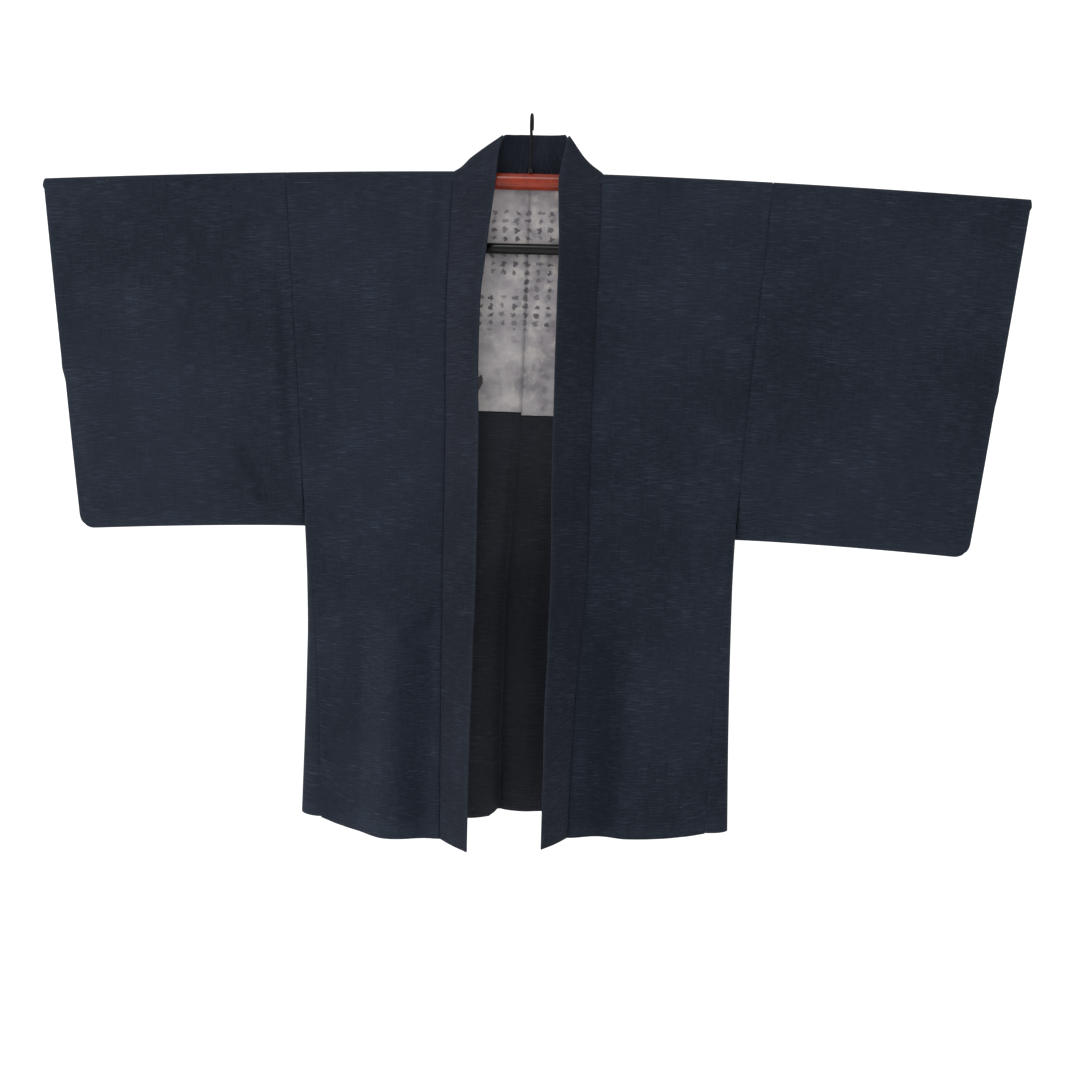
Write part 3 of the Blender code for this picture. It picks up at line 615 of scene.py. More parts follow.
def tsumugi(name, base, slub_colour, seed):
    """Matt navy silk with slubs across the width."""
    paint = Paint(name, Sheen_Weight=0.05, Sheen_Roughness=0.5, Sheen_Tint=(0.5, 0.66, 0.85, 1.0),
                  Specular_IOR_Level=0.12)
    across, along = paint.cloth_places()
    yarn = paint.noise(paint.cell(across * 40.0 + seed, along * 1080.0), 1.0, 2.0, 0.6)
    thread = paint.noise(paint.cell(across * 120.0, along * 1300.0 + seed), 1.0, 1.0)
    warp = paint.noise(paint.cell(across * 1000.0, along * 30.0 + seed), 1.0, 1.0)
    where = paint.noise(paint.cell(across * 13.0, along * 15.0, seed), 1.0, 2.0)
    slub = (yarn + (where - 0.5) * 0.24).step(0.53, 0.64)
    bright = paint.noise(paint.cell(across * 22.0, along * 900.0 + seed, 8.0), 1.0, 1.0).step(0.72, 0.79)
    short = paint.noise(paint.cell(across * 150.0, along * 700.0, seed + 3.0), 1.0, 1.0)
    nep = short.step(0.74, 0.83)
    space = paint.object_places()
    worn = paint.noise(space, 3.6, 2.0, 0.55)
    edge = paint.node("ShaderNodeAttribute", {"attribute_name": "wear"}, output=2)
    dark = [channel * DARKER for channel in base]
    light = [channel * LIGHTER for channel in base]
    ground = paint.mix(worn.step(0.30, 0.70), (*dark, 1.0), (*light, 1.0))
    threads = paint.mix((thread - 0.5) * 1.5 + (warp - 0.5) * 1.1 + 0.36, ground, (*slub_colour, 1.0))
    ground = paint.mix(0.44, ground, threads)
    ground = paint.mix(slub * (worn * 0.8 + 0.24), ground, (*slub_colour, 1.0))
    ground = paint.mix(bright * 0.72, ground, BRIGHT_YARN)
    ground = paint.mix(nep * 0.75, ground, PALE_SPECK)
    ground = paint.mix(edge * 0.22, ground, (*slub_colour, 1.0))
    height = yarn * 0.9 + thread * 0.5 + warp * 0.4 + slub * 0.6
    paint.feed(Base_Color=ground, Roughness=0.88 - slub * 0.10, Normal=paint.bump(height, 0.0004, 0.9))
    return paint.material


NAVY = (0.0060, 0.0080, 0.0142)
SLUB = (0.0265, 0.0375, 0.0560)
body_silk = tsumugi("navy_tsumugi", NAVY, SLUB, 0.0)
sleeve_silk = tsumugi("navy_tsumugi_sleeve", NAVY, SLUB, 17.0)
band_silk = tsumugi("navy_tsumugi_band", (0.0062, 0.0070, 0.0116), (0.0235, 0.0310, 0.0470), 41.0)
# Painted light: the turned-up hem cloth is the same navy tsumugi, given a lighter, greyer base that
# brightens the shaded inside of the back.
lightened_inside_silk = tsumugi("navy_tsumugi_inside", (0.0155, 0.0162, 0.0212), (0.0350, 0.0390, 0.0500), 63.0)
print("tsumugi in four lengths of the bolt")

# %% [markdown]
# ## The lining
# The back is lined with a smooth grey silk. It carries soft washes of ink, and columns of
# small brush dabs in its upper part. The dabs here are plain marks: one ragged blot of a
# brush in each cell of a grid, moved by a random number that belongs to the cell.

# %% Grey silk with ink washes and brush dabs
CELL_ACROSS = 0.0157
CELL_ALONG = 0.0118
DABS_FROM, DABS_TO = 0.046, 0.214
BLANK_FROM, BLANK_TO = 0.143, 0.167
SHADED_GREY = (0.205, 0.191, 0.212, 1.0)
PALE_GREY = (0.430, 0.402, 0.415, 1.0)
WARM_PATCH = (0.560, 0.525, 0.490, 1.0)
DARK_PATCH = (0.120, 0.112, 0.130, 1.0)
WEAVE_GREY = (0.21, 0.20, 0.22, 1.0)
# Pale grey of painted light, laid over one half of the lining.
PAINTED_LIGHT_PALE = (0.600, 0.560, 0.560, 1.0)
SEAM_SHADE = (0.105, 0.098, 0.112, 1.0)
INK = (0.040, 0.037, 0.046, 1.0)
THICK_INK = (0.030, 0.028, 0.034, 1.0)
SEAM_AT = -0.0012
LEAF_ACROSS, LEAF_ALONG = -0.0600, 0.292


def lining_silk():
    """Warm grey silk, mottled with ink."""
    paint = Paint("grey_silk_lining", Sheen_Weight=0.06, Specular_IOR_Level=0.4)
    across, along = paint.cloth_places()
    place_on = paint.cell(across, along)
    cloud = paint.noise(place_on, 15.0, 3.0, 0.6)
    mottle = paint.noise(paint.cell(across + 3.0, along), 46.0, 3.0, 0.6)
    fine = paint.noise(paint.cell(across * 900.0, along * 240.0), 1.0, 1.0)
    ground = paint.mix(cloud.step(0.34, 0.64), SHADED_GREY, PALE_GREY)
    ground = paint.mix(mottle.step(0.48, 0.70) * 0.70, ground, WARM_PATCH)
    ground = paint.mix(mottle.step(0.46, 0.30) * 0.60, ground, DARK_PATCH)
    ground = paint.mix((0.5 - fine) * 0.5 + 0.10, ground, WEAVE_GREY)
    # Painted light: the lining's half on the wearer's right is lightened towards pale grey, against the
    # shade that the collar casts there.
    ground = paint.mix(across.step(0.004, -0.026) * 0.26, ground, PAINTED_LIGHT_PALE)
    from_seam = (across - SEAM_AT).math("ABSOLUTE")
    ground = paint.mix(from_seam.step(0.0042, 0.0004) * 0.36, ground, SEAM_SHADE)
    cell_u = across / CELL_ACROSS + 0.5
    cell_v = along / CELL_ALONG
    column = cell_u.math("FLOOR")
    row = cell_v.math("FLOOR")
    chance = [paint.node("ShaderNodeTexWhiteNoise", {"noise_dimensions": "3D"},
                         {0: paint.cell(column, row, seed)}) for seed in (1.0, 2.0, 3.0)]
    u = cell_u.math("FRACT") - (chance[0] * 0.16 + 0.42)
    v = cell_v.math("FRACT") - (chance[1] * 0.18 + 0.41)
    wide = chance[2] * 6.0 + 5.0
    tall = chance[0] * 5.0 + 3.0
    far = (u * u * wide + v * v * tall).math("SQRT")
    bristle = paint.noise(paint.cell(across, along * 1.2, chance[2] * 4.0), 230.0, 1.0, 0.5)
    dabs = (far * 0.80 + (bristle - 0.5) * 1.5).step(0.62, 0.36) * far.step(1.2, 0.8)
    inked = along.step(DABS_FROM, DABS_FROM + 0.004) * along.step(DABS_TO + 0.004, DABS_TO)
    blank = along.step(BLANK_FROM, BLANK_FROM + 0.002) * along.step(BLANK_TO + 0.002, BLANK_TO)
    inked = inked * (1.0 - blank * across.step(-0.002, -0.006))
    strength = dabs * inked * (chance[1] * 0.40 + 0.50)
    ground = paint.mix(strength, ground, INK)
    leaf_u = (across - LEAF_ACROSS) / 0.0050 + (along - LEAF_ALONG) * 60.0
    leaf_v = (along - LEAF_ALONG) / 0.0130
    leaf = (leaf_u * leaf_u + leaf_v * leaf_v + (bristle - 0.5) * 1.6).step(1.1, 0.8)
    ground = paint.mix(leaf * 0.92, ground, THICK_INK)
    sheen_height = fine * 0.5 + mottle * 0.3
    paint.feed(Base_Color=ground, Roughness=0.50 + mottle * 0.16,
               Normal=paint.bump(sheen_height, 0.00012, 0.6))
    return paint.material


lining_finish = lining_silk()
print("lining with dabs in cells of", CELL_ACROSS, "by", CELL_ALONG, "m")

# %% [markdown]
# ## The hanger's finishes
# The hanger is moulded plastic: a vermilion tube, sliding arms and a black bar, with a
# dark wire hook. Moulded plastic has a faint flow texture and fine rubbing marks along it.

# %% Moulded plastic and wire
RUB_MARK = (0.45, 0.36, 0.33, 1.0)
SHADED = 0.72


def moulded(name, colour, roughness, rub, gloss):
    """Plastic with faint mottling and rubbed streaks along x."""
    paint = Paint(name, Specular_IOR_Level=gloss)
    space = paint.object_places()
    x, y, z = (paint.node("ShaderNodeSeparateXYZ", None, {0: space}, output=axis) for axis in range(3))
    flow = paint.noise(space, 60.0, 3.0, 0.55)
    streak = paint.noise(paint.cell(x * 30.0, y * 900.0, z * 900.0), 1.0, 2.0)
    darker = [channel * SHADED for channel in colour]
    ground = paint.mix(flow.step(0.35, 0.7), (*darker, 1.0), (*colour, 1.0))
    ground = paint.mix(streak.step(0.60, 0.78) * rub, ground, RUB_MARK)
    paint.feed(Base_Color=ground, Roughness=roughness + streak * 0.12,
               Normal=paint.bump(flow * 0.6 + streak * 0.3, 0.0002, 0.35))
    return paint.material


def blackened_wire():
    """Dark steel with slightly rubbed places."""
    paint = Paint("dark_steel_wire", Specular_IOR_Level=0.12)
    space = paint.object_places()
    rubbed = paint.noise(space, 240.0, 3.0, 0.6).step(0.5, 0.75)
    ground = paint.mix(rubbed * 0.5, (0.004, 0.0045, 0.006, 1.0), (0.022, 0.022, 0.024, 1.0))
    paint.feed(Base_Color=ground, Roughness=0.58 - rubbed * 0.14, Metallic=rubbed * 0.15,
               Normal=paint.bump(rubbed, 0.0001, 0.5))
    return paint.material


vermilion = moulded("vermilion_plastic", (0.226, 0.0200, 0.0032), 0.16, 0.03, 0.36)
black = moulded("black_plastic", (0.0022, 0.0020, 0.0024), 0.15, 0.012, 0.25)
wire = blackened_wire()
print("hanger finishes:", vermilion.name, black.name, wire.name)

# %% [markdown]
# ## Laying out a piece of cloth
# Every piece starts as one flat grid. Each point of the grid is then put where the cloth
# hangs, and the grid keeps its own flat chart, so that the weave runs true to the cut.

# %% A grid of cloth, its chart and its wall
EDGE_ANGLE = 55.0


def cloth_grid(rows, columns, point):
    """A grid whose vertex at (row, column) lies at point(row, column)."""
    bm = bmesh.new()
    made = bmesh.ops.create_grid(bm, x_segments=columns - 1, y_segments=rows - 1, size=1.0)
    grid = [made["verts"][row * columns:(row + 1) * columns] for row in range(rows)]
    for row in range(rows):
        for column in range(columns):
            grid[row][column].co = place(*point(row, column))
    return bm, grid


def chart(bm, grid, across, along):
    """Write each vertex's place on the flat cloth, in metres, to the map called cloth."""
    layer = bm.loops.layers.uv.new("cloth")
    flat = {}
    for row, verts in enumerate(grid):
        for column, vert in enumerate(verts):
            if vert.is_valid:
                flat[vert] = (across(row, column) * MM, along(row, column) * MM)
    for face in bm.faces:
        for loop in face.loops:
            loop[layer].uv = flat.get(loop.vert, (0.0, 0.0))


HEM_WEAR, FOLD_WEAR = 0.8, 0.5


def wear(bm, amount):
    """Store how much each vertex is rubbed, from 0 to 1."""
    layer = bm.verts.layers.float.new("wear")
    for vert in bm.verts:
        vert[layer] = amount(vert.co / MM + Vector((0.0, 0.0, HOOK_RISE)))


def smooth_object(name, bm, material):
    """Make the object of a finished mesh, with smooth faces."""
    mesh = bpy.data.meshes.new(name)
    bm.to_mesh(mesh)
    bm.free()
    mesh.materials.append(material)
    for face in mesh.polygons:
        face.use_smooth = True
    made = bpy.data.objects.new(name, mesh)
    bpy.context.collection.objects.link(made)
    print(name, len(mesh.polygons), "faces")
    return made


def finish_cloth(name, bm, material, wall, round_by):
    """Make the cloth's object: an even wall on both sides, rounded cut edges."""
    made = smooth_object(name, bm, material)
    solid = made.modifiers.new("wall", "SOLIDIFY")
    solid.thickness = wall * MM
    solid.offset = 0.0
    solid.use_quality_normals = True
    rounded = made.modifiers.new("rounded edges", "BEVEL")
    rounded.width = round_by * MM
    rounded.segments = 2
    rounded.limit_method = "ANGLE"
    rounded.angle_limit = math.radians(EDGE_ANGLE)
    return made

# %% [markdown]
# ## The body halves
# A haori's body is two lengths of cloth. Each runs from the front hem up over the
# shoulder and down to the back hem in one piece, and a slit lets the neck in. At a seam
# the edge of the cloth turns inside, so the outermost columns of the grid tuck in behind
# the neighbouring piece, which also keeps light out of the joins.

# %% One half of the body
CELL = 5.2
CELL_INSIDE = CELL / 100.0
TURN_IN = 2.0
TURNED_EDGE = ((0.3, 1.7), (2.0, TURN_IN), (4.5, TURN_IN))
UNDER_BAND = ((0.3, 0.4), (4.0, 1.0))
FIRST_FRONT_ROW, FIRST_BACK_ROW, ARC_STEP = 16.0, 17.0, 15.0
ARC_LENGTH, BACK_CHART_START = 0.216, 14.0
Row = namedtuple("Row", "kind value")
Column = namedtuple("Column", "inner share past tuck")


def shares_with_tight_ends(length):
    """Even shares along an edge, with close ones at both ends where the cloth meets a seam."""
    ends = [0.0, 1.2 / length, 3.0 / length]
    middle = steps(6.0 / length, 1.0 - 6.0 / length, CELL / length)
    return ends + middle + [1.0 - share for share in reversed(ends)]


def body_half(side):
    """Front and back in one length over the shoulder, with a slit for the neck."""
    rows = [Row("front", drop) for drop in steps(FRONT_LENGTH, FIRST_FRONT_ROW, CELL)]
    rows += [Row("arc", turn) for turn in steps(0.0, 180.0, ARC_STEP)]
    rows += [Row("back", drop) for drop in steps(FIRST_BACK_ROW, BACK_LENGTH, CELL)]
    columns = [Column(inner, 0.0, 0.0, 0.0) for inner in steps(0.0, 1.0, CELL_INSIDE)[:-1]]
    columns += [Column(None, share, 0.0, 0.0) for share in shares_with_tight_ends(PANEL_WIDTH)]
    columns += [Column(None, 1.0, past, tuck) for past, tuck in TURNED_EDGE]
    slit_row = max(i for i, row in enumerate(rows) if row.kind == "arc")
    first_out = next(i for i, column in enumerate(columns) if column.inner is None)

    def point(row, column):
        kind, value = rows[row]
        inner, share, past, tuck = columns[column]
        open_side = 1.0
        if kind != "arc":
            open_side = 1.0 - ease((value - ARMHOLE_END + 16.0) / 14.0)
        past = past * open_side if past > SEAM_GAP else past
        if kind == "front":
            if inner is not None:
                under, sunk = UNDER_BAND[0] if first_out - column == 1 else UNDER_BAND[1]
                x, y, z = front_cloth(side, 0.0, value)
                return x - side * under, y + sunk, z
            return front_cloth(side, share, value, past, tuck)
        if kind == "back":
            return back_cloth(side, inner, None if inner is not None else share, value, past, tuck)
        x = back_x(side, inner, None if inner is not None else share, FOLD_RADIUS, past)
        turned = over_arm(x, value, tuck)
        if value < 180.0:
            return turned
        return x, back_y(x, FOLD_RADIUS) - tuck, turned[2]

    bm, grid = cloth_grid(len(rows), len(columns), point)

    def across(row, column):
        inner, share, past, _ = columns[column]
        neck = FRONTS[side][0].seam_x
        return side * (inner * neck if inner is not None else neck + share * PANEL_WIDTH + past)

    def along(row, column):
        kind, value = rows[row]
        flat = {"front": -value, "arc": value * ARC_LENGTH - FOLD_RADIUS, "back": value + BACK_CHART_START}
        return flat[kind]

    chart(bm, grid, across, along)
    keep_from = first_out - 2
    cut = {face for row in range(slit_row) for column in range(keep_from)
           for face in grid[row][column].link_faces
           if set(face.verts) == {grid[row][column], grid[row][column + 1],
                                  grid[row + 1][column], grid[row + 1][column + 1]}}
    bmesh.ops.delete(bm, geom=list(cut), context="FACES")
    bmesh.ops.recalc_face_normals(bm, faces=bm.faces)

    def rubbed(at):
        low = ease(1.0 - (at.z + FRONT_LENGTH) / 26.0) * HEM_WEAR
        high = ease(1.0 - abs(at.z - shoulder(at.x)) / 9.0) * FOLD_WEAR
        return min(1.0, max(low, high, 0.0))

    wear(bm, rubbed)
    return finish_cloth("silk_body_" + WORDS[side], bm, body_silk, CLOTH, 0.5)


bodies = {side: body_half(side) for side in (RIGHT, LEFT)}

# %% [markdown]
# ## The gussets
# A long narrow strip joins front and back at each side and opens towards the hem. It
# folds along its middle. Its edges lie behind the edges of the front and the back.

# %% Gussets
GUSSET_CHART, GUSSET_COLUMN = 400.0, 4.0
GUSSET_TUCK = 5.0
GUSSET_LOW = 893.0
SET_BACK, SET_BACK_FROM, SET_BACK_OVER = 1.6, 505.0, 65.0


def gusset_strip(side):
    """The strip folded along its middle, from the underarm to the hem."""
    drops = steps(GUSSET[0].drop - 10.0, GUSSET[-1].drop, CELL)
    turns = steps(0.0, 180.0, 12.0)
    columns = ["under front", *turns, "under back"]
    column_name = "right_fold" if side == RIGHT else "left_fold"

    def point(row, column):
        drop = drops[row]
        share = (drop - drops[0]) / (drops[-1] - drops[0])
        front_drop = drop + (FRONT_LENGTH - drops[-1]) * ease((share - 0.9) / 0.1)
        turn = columns[column]
        tucked = isinstance(turn, str)
        if tucked:
            turn = 0.0 if turn == "under front" else 180.0
        in_front = turn < 90.0
        if in_front:
            edge = front_cloth(side, 1.0, front_drop)
        else:
            edge = back_cloth(side, 1.0, 1.0, min(drop, BACK_LENGTH))
        set_back = SET_BACK * ease((SET_BACK_FROM - drop) / SET_BACK_OVER)
        fold_x = side * (follow(GUSSET, "drop", column_name, drop) - set_back)
        fold_y = follow(GUSSET, "drop", "fold_y", drop)
        angle = math.radians(turn)
        edge_x = edge[0] + side * (SEAM_GAP + CLOTH / 2)
        x = edge_x + (fold_x - edge_x) * math.sin(angle)
        y = fold_y + (edge[1] - fold_y) * abs(math.cos(angle))
        z = level_of(x, drop)
        hem = GUSSET_HEM[side]
        end = hem.front if in_front else hem.back
        low = -CLOTH / 2 - (hem.fold + (end - hem.fold) * abs(math.cos(angle)))
        z += (low - level_of(x, drops[-1])) * ease((share - 0.3) / 0.7)
        if tucked:
            x -= side * GUSSET_TUCK
            y += TURN_IN if in_front else -TURN_IN
        return x, y, z

    bm, grid = cloth_grid(len(drops), len(columns), point)
    chart(bm, grid, lambda row, column: GUSSET_CHART * side + column * GUSSET_COLUMN,
          lambda row, column: -drops[row])
    bmesh.ops.recalc_face_normals(bm, faces=bm.faces)
    if bm.faces[len(bm.faces) // 2].normal.x * side < 0.0:
        bmesh.ops.reverse_faces(bm, faces=bm.faces)
    wear(bm, lambda at: ease(1.0 - (at.z + GUSSET_LOW) / 24.0) * HEM_WEAR)
    return finish_cloth("silk_gusset_" + WORDS[side], bm, body_silk, CLOTH, 0.5)


gussets = {side: gusset_strip(side) for side in (RIGHT, LEFT)}

# %% [markdown]
# ## The sleeves
# A sleeve is one width of cloth folded at the top. Its bottom and the lower part of its
# wrist edge are sewn shut, with a rounded corner, and so is the lowest part of its inner
# edge, below the place where it is sewn to the body.

# %% A point of a sleeve
BOTTOM_CURVE = 1.5
WRIST_CLOSES_OVER = 0.05
WRIST_CLOSES_WITHIN = 30.0
FLATTENED = 3.0


def sleeve_point(side, along, share, face):
    """A point of the sleeve; face is -1 on its front and 1 on its back."""
    top_x = FRONTS[side][0].side_x + along * (HALF_SPAN - FRONTS[side][0].side_x)
    top = shoulder(top_x) - CLOTH / 2 - FOLD_RADIUS
    bottom = -(SLEEVE_END + (CUFF_END - SLEEVE_END) * along ** BOTTOM_CURVE)
    z = top + share * (bottom - top)
    drop = drop_of(FRONTS[side][0].side_x, z)
    above, below = [row for row in FRONTS[side] if row.drop <= ARMHOLE_END][-2:]
    armhole = follow(FRONTS[side], "drop", "side_x", drop)
    if drop > below.drop:
        lean = (below.side_x - above.side_x) / (below.drop - above.drop)
        armhole = below.side_x + lean * (drop - below.drop)
    armhole += STEP_OUT * ease((drop - below.drop + 6.0) / 6.0)
    wrist = follow(WRIST, "drop", "x", -z)
    start = armhole + ARMHOLE_GAP
    out = start + along * (wrist - start)
    off_edge, off_bottom = round_corner(wrist - out, z - bottom)
    half = follow(SLEEVE_DEPTH, "share", "half", share)
    closed_wrist = ease((share - CUFF_OPEN) / WRIST_CLOSES_OVER) * ease(1.0 - off_edge / WRIST_CLOSES_WITHIN)
    half -= FLATTENED * ease((share - 0.1) / 0.6) * ease(along * 1.6)
    half += (EDGE_HALF - half) * closed_wrist
    x = side * (wrist - off_edge)
    z = bottom + off_bottom
    lift = crease_height(side, face, x, z) * ease((half - EDGE_HALF) / 6.0)
    return x, face * (half + lift - roll(out - start)), z


def round_corner(off_edge, off_bottom):
    """Bend the sleeve's square lower corner onto an arc."""
    if off_edge >= CORNER_RADIUS or off_bottom >= CORNER_RADIUS:
        return off_edge, off_bottom
    across = CORNER_RADIUS - off_edge
    down = CORNER_RADIUS - off_bottom
    length = math.hypot(across, down)
    if length < 1e-6:
        return off_edge, off_bottom
    reach = max(across, down) / length
    return CORNER_RADIUS - across * reach, CORNER_RADIUS - down * reach

# %% Sleeves
SLEEVE_CHART = 330.0
ROUND_HALF, ROUND_RISE = 0.71, 0.29


def sleeve(side):
    """A flat bag folded at the top: open along the armhole and at the wrist."""
    shares = steps(0.01, 0.985, CELL / SLEEVE_DROP)
    columns = shares_with_tight_ends(SLEEVE_WIDTH)
    rows = [("bottom", 0.0, FRONT), ("turn", 1.0, FRONT)]
    rows += [("side", share, FRONT) for share in reversed(shares)]
    rows += [("arc", turn, FRONT) for turn in steps(0.0, 180.0, ARC_STEP)]
    rows += [("side", share, BEHIND) for share in shares]
    rows += [("turn", 1.0, BEHIND), ("bottom", 0.0, BEHIND)]

    def point(row, column):
        kind, value, face = rows[row]
        along = columns[column]
        if kind == "side":
            return sleeve_point(side, along, value, face)
        if kind == "arc":
            start = FRONTS[side][0].side_x + ARMHOLE_GAP - abs(math.cos(math.radians(value)))
            return over_arm(side * (start + along * (HALF_SPAN - start)), value)
        x, y, z = sleeve_point(side, along, 1.0, face)
        if kind == "turn":
            return x, face * EDGE_HALF * ROUND_HALF, z + ROUND_RISE * EDGE_HALF
        return x, 0.0, z

    bm, grid = cloth_grid(len(rows), len(columns), point)

    def along_cloth(row, column):
        kind, value, face = rows[row]
        if kind == "arc":
            return value * ARC_LENGTH - FOLD_RADIUS
        down = value * SLEEVE_DROP if kind == "side" else SLEEVE_DROP + 2.0
        return face * down + (28.0 if face == BEHIND else -12.0)

    def across_cloth(row, column):
        return side * (SLEEVE_CHART + columns[column] * SLEEVE_WIDTH)

    chart(bm, grid, across_cloth, along_cloth)
    count = len(rows)
    for end, open_share in ((0, ARM_OPEN), (-1, CUFF_OPEN)):
        closed = 2 + sum(1 for share in shares if share > open_share + 1e-6)
        for row in range(closed):
            quad = [grid[row][end], grid[row + 1][end],
                    grid[count - 2 - row][end], grid[count - 1 - row][end]]
            bmesh.ops.contextual_create(bm, geom=quad)
    bmesh.ops.remove_doubles(bm, verts=bm.verts, dist=0.00012)
    bmesh.ops.recalc_face_normals(bm, faces=bm.faces)

    def rubbed(at):
        wrist = follow(WRIST, "drop", "x", -at.z)
        cuff = ease(1.0 - (wrist - abs(at.x)) / 9.0)
        top = ease(1.0 - abs(at.z - shoulder(at.x)) / 9.0) * FOLD_WEAR
        low = ease(1.0 - (at.z + 500.0) / 14.0) * HEM_WEAR
        return min(1.0, max(cuff, top, low))

    wear(bm, rubbed)
    return finish_cloth("silk_sleeve_" + WORDS[side], bm, sleeve_silk, CLOTH, 0.5)


sleeves = {side: sleeve(side) for side in (RIGHT, LEFT)}

# %% [markdown]
# ## The collar band
# One doubled band is sewn on from hem to hem. At the back of the neck it stands up, at
# the shoulders it folds over, and down the fronts it turns with its free edge forward.
# It is drawn as a line of cross sections, each from its seam to its folded free edge.

# %% Cross sections of the band
Section = namedtuple("Section", "at seam_x seam_y seam_z free_x free_y free_z")


def band_sections():
    """Seam point and free point of each section, from the right hem round the neck to the left hem."""
    halves = {}
    for side in (RIGHT, LEFT):
        sections = []
        for drop in (*steps(FRONT_LENGTH, 40.0, 8.0), FOLD_RADIUS):
            seam = Vector(front_cloth(side, 0.0, drop))
            turn = follow(FRONTS[side], "drop", "turn", drop)
            reach = math.sqrt(BAND_WIDTH ** 2 - turn ** 2)
            sag = BAND_SAG * ease((drop - STRETCH_START) / (FRONT_LENGTH - STRETCH_START))
            sections.append((seam, seam + Vector((-side * reach, -turn, -sag))))
        for neck in NECK:
            x = side * FRONTS[side][0].seam_x * neck.seam_x
            seam = Vector(over_arm(x, neck.seam_turn))
            if neck.seam_turn == 180.0:
                seam.y = back_y(x, FOLD_RADIUS)
            free = Vector((neck.left_x, neck.free_y, neck.left_z))
            if side == RIGHT:
                free = Vector((-neck.right_x, neck.free_y, neck.right_z))
            sections.append((seam, free))
        halves[side] = sections
    seam = Vector(over_arm(0.0, 180.0))
    seam.y = back_y(0.0, FOLD_RADIUS)
    centre = (seam, Vector((0.0, NECK_CENTRE_Y, NECK_CENTRE_Z)))
    ordered = halves[RIGHT] + [centre] + halves[LEFT][::-1]
    rows, at = [], 0.0
    for i, (seam, free) in enumerate(ordered):
        if i:
            before_seam, before_free = ordered[i - 1]
            at += 0.5 * (seam - before_seam).length + 0.5 * (free - before_free).length
        rows.append(Section(at, *seam, *free))
    return rows


def at_section(rows, at):
    """Seam point and free point anywhere along the band."""
    near = [i for i, row in enumerate(rows) if row.at <= at][-1]
    part = rows[max(0, near - 3):near + 5]
    numbers = [follow(part, "at", name, at) for name in Section._fields[1:]]
    return Vector(numbers[:3]), Vector(numbers[3:])

# %% The band
BAND_CELL = 4.6
BULGE = 2.0
SHOULDER_DIP = 6.5
NECK_POINT_DIP = 2.6
DIP_REACH = 60.0
SEAM_LIFT = 0.6
BAND_CHART = 700.0


def collar_band():
    """The doubled band, slightly hollow between its seam and its fold."""
    rows = band_sections()
    total = rows[-1].at
    places = steps(0.0, total, BAND_CELL)
    across = [0.0, 0.018, 0.045, 0.09, *steps(0.15, 0.85, 0.0875), 0.92, 0.97, 1.0]
    sections = [at_section(rows, place_at) for place_at in places]

    def point(row, column):
        seam, free = sections[row]
        before = sections[max(0, row - 1)]
        after = sections[min(len(sections) - 1, row + 1)]
        run = (after[0] + after[1]) - (before[0] + before[1])
        face = (free - seam).cross(run).normalized()
        lift = SEAM_LIFT / (free - seam).length
        share = across[column]
        at = seam.lerp(free, lift + (1.0 - lift) * share)
        soft = noise.noise((places[row] / 70.0, share * 1.3, 5.0)) * 0.9 * ease(share * 3.0)
        high = ease((seam.z + 60.0) / 50.0)
        crown = math.sin(math.pi * share) ** 1.5
        over = ease(1.0 - abs(seam.y + 1.0) / 13.0)
        dip = SHOULDER_DIP * ease(seam.x / DIP_REACH) * crown
        pinch = NECK_POINT_DIP * math.sin(math.pi * min(1.0, share * 3.2)) - 1.4 * crown
        dip += ease(-seam.x / DIP_REACH) * pinch
        at.z -= over * dip
        sunk = roll(share * BAND_WIDTH) if seam.y < 0.0 else 0.0
        return at + face * ((BULGE * crown + soft) * (1.0 - high) - sunk)

    bm, grid = cloth_grid(len(places), len(across), point)
    chart(bm, grid, lambda row, column: across[column] * BAND_WIDTH + BAND_CHART,
          lambda row, column: places[row])
    bmesh.ops.recalc_face_normals(bm, faces=bm.faces)
    bm.verts.index_update()
    rubbed = {vert.index: ease((across[column] - 0.9) / 0.1) * 0.9
              for verts in grid for column, vert in enumerate(verts)}
    layer = bm.verts.layers.float.new("wear")
    for vert in bm.verts:
        vert[layer] = rubbed[vert.index]
    return finish_cloth("silk_collar_band", bm, band_silk, BAND_CLOTH, 0.9)


band = collar_band()

# %% [markdown]
# ## Lining and turned-up hem cloth
# Inside the back, the lining hangs from the neck and ends at waist height, where it meets
# the body cloth, which is turned up from the hem as a deep facing. Both are copies of the
# back's surface moved inwards, so they follow each of its folds.

# %% Inner layers
LAYER_EASE = 0.5
CENTRE_CLEAR, COLUMN_CLEAR = 0.08, 0.0001


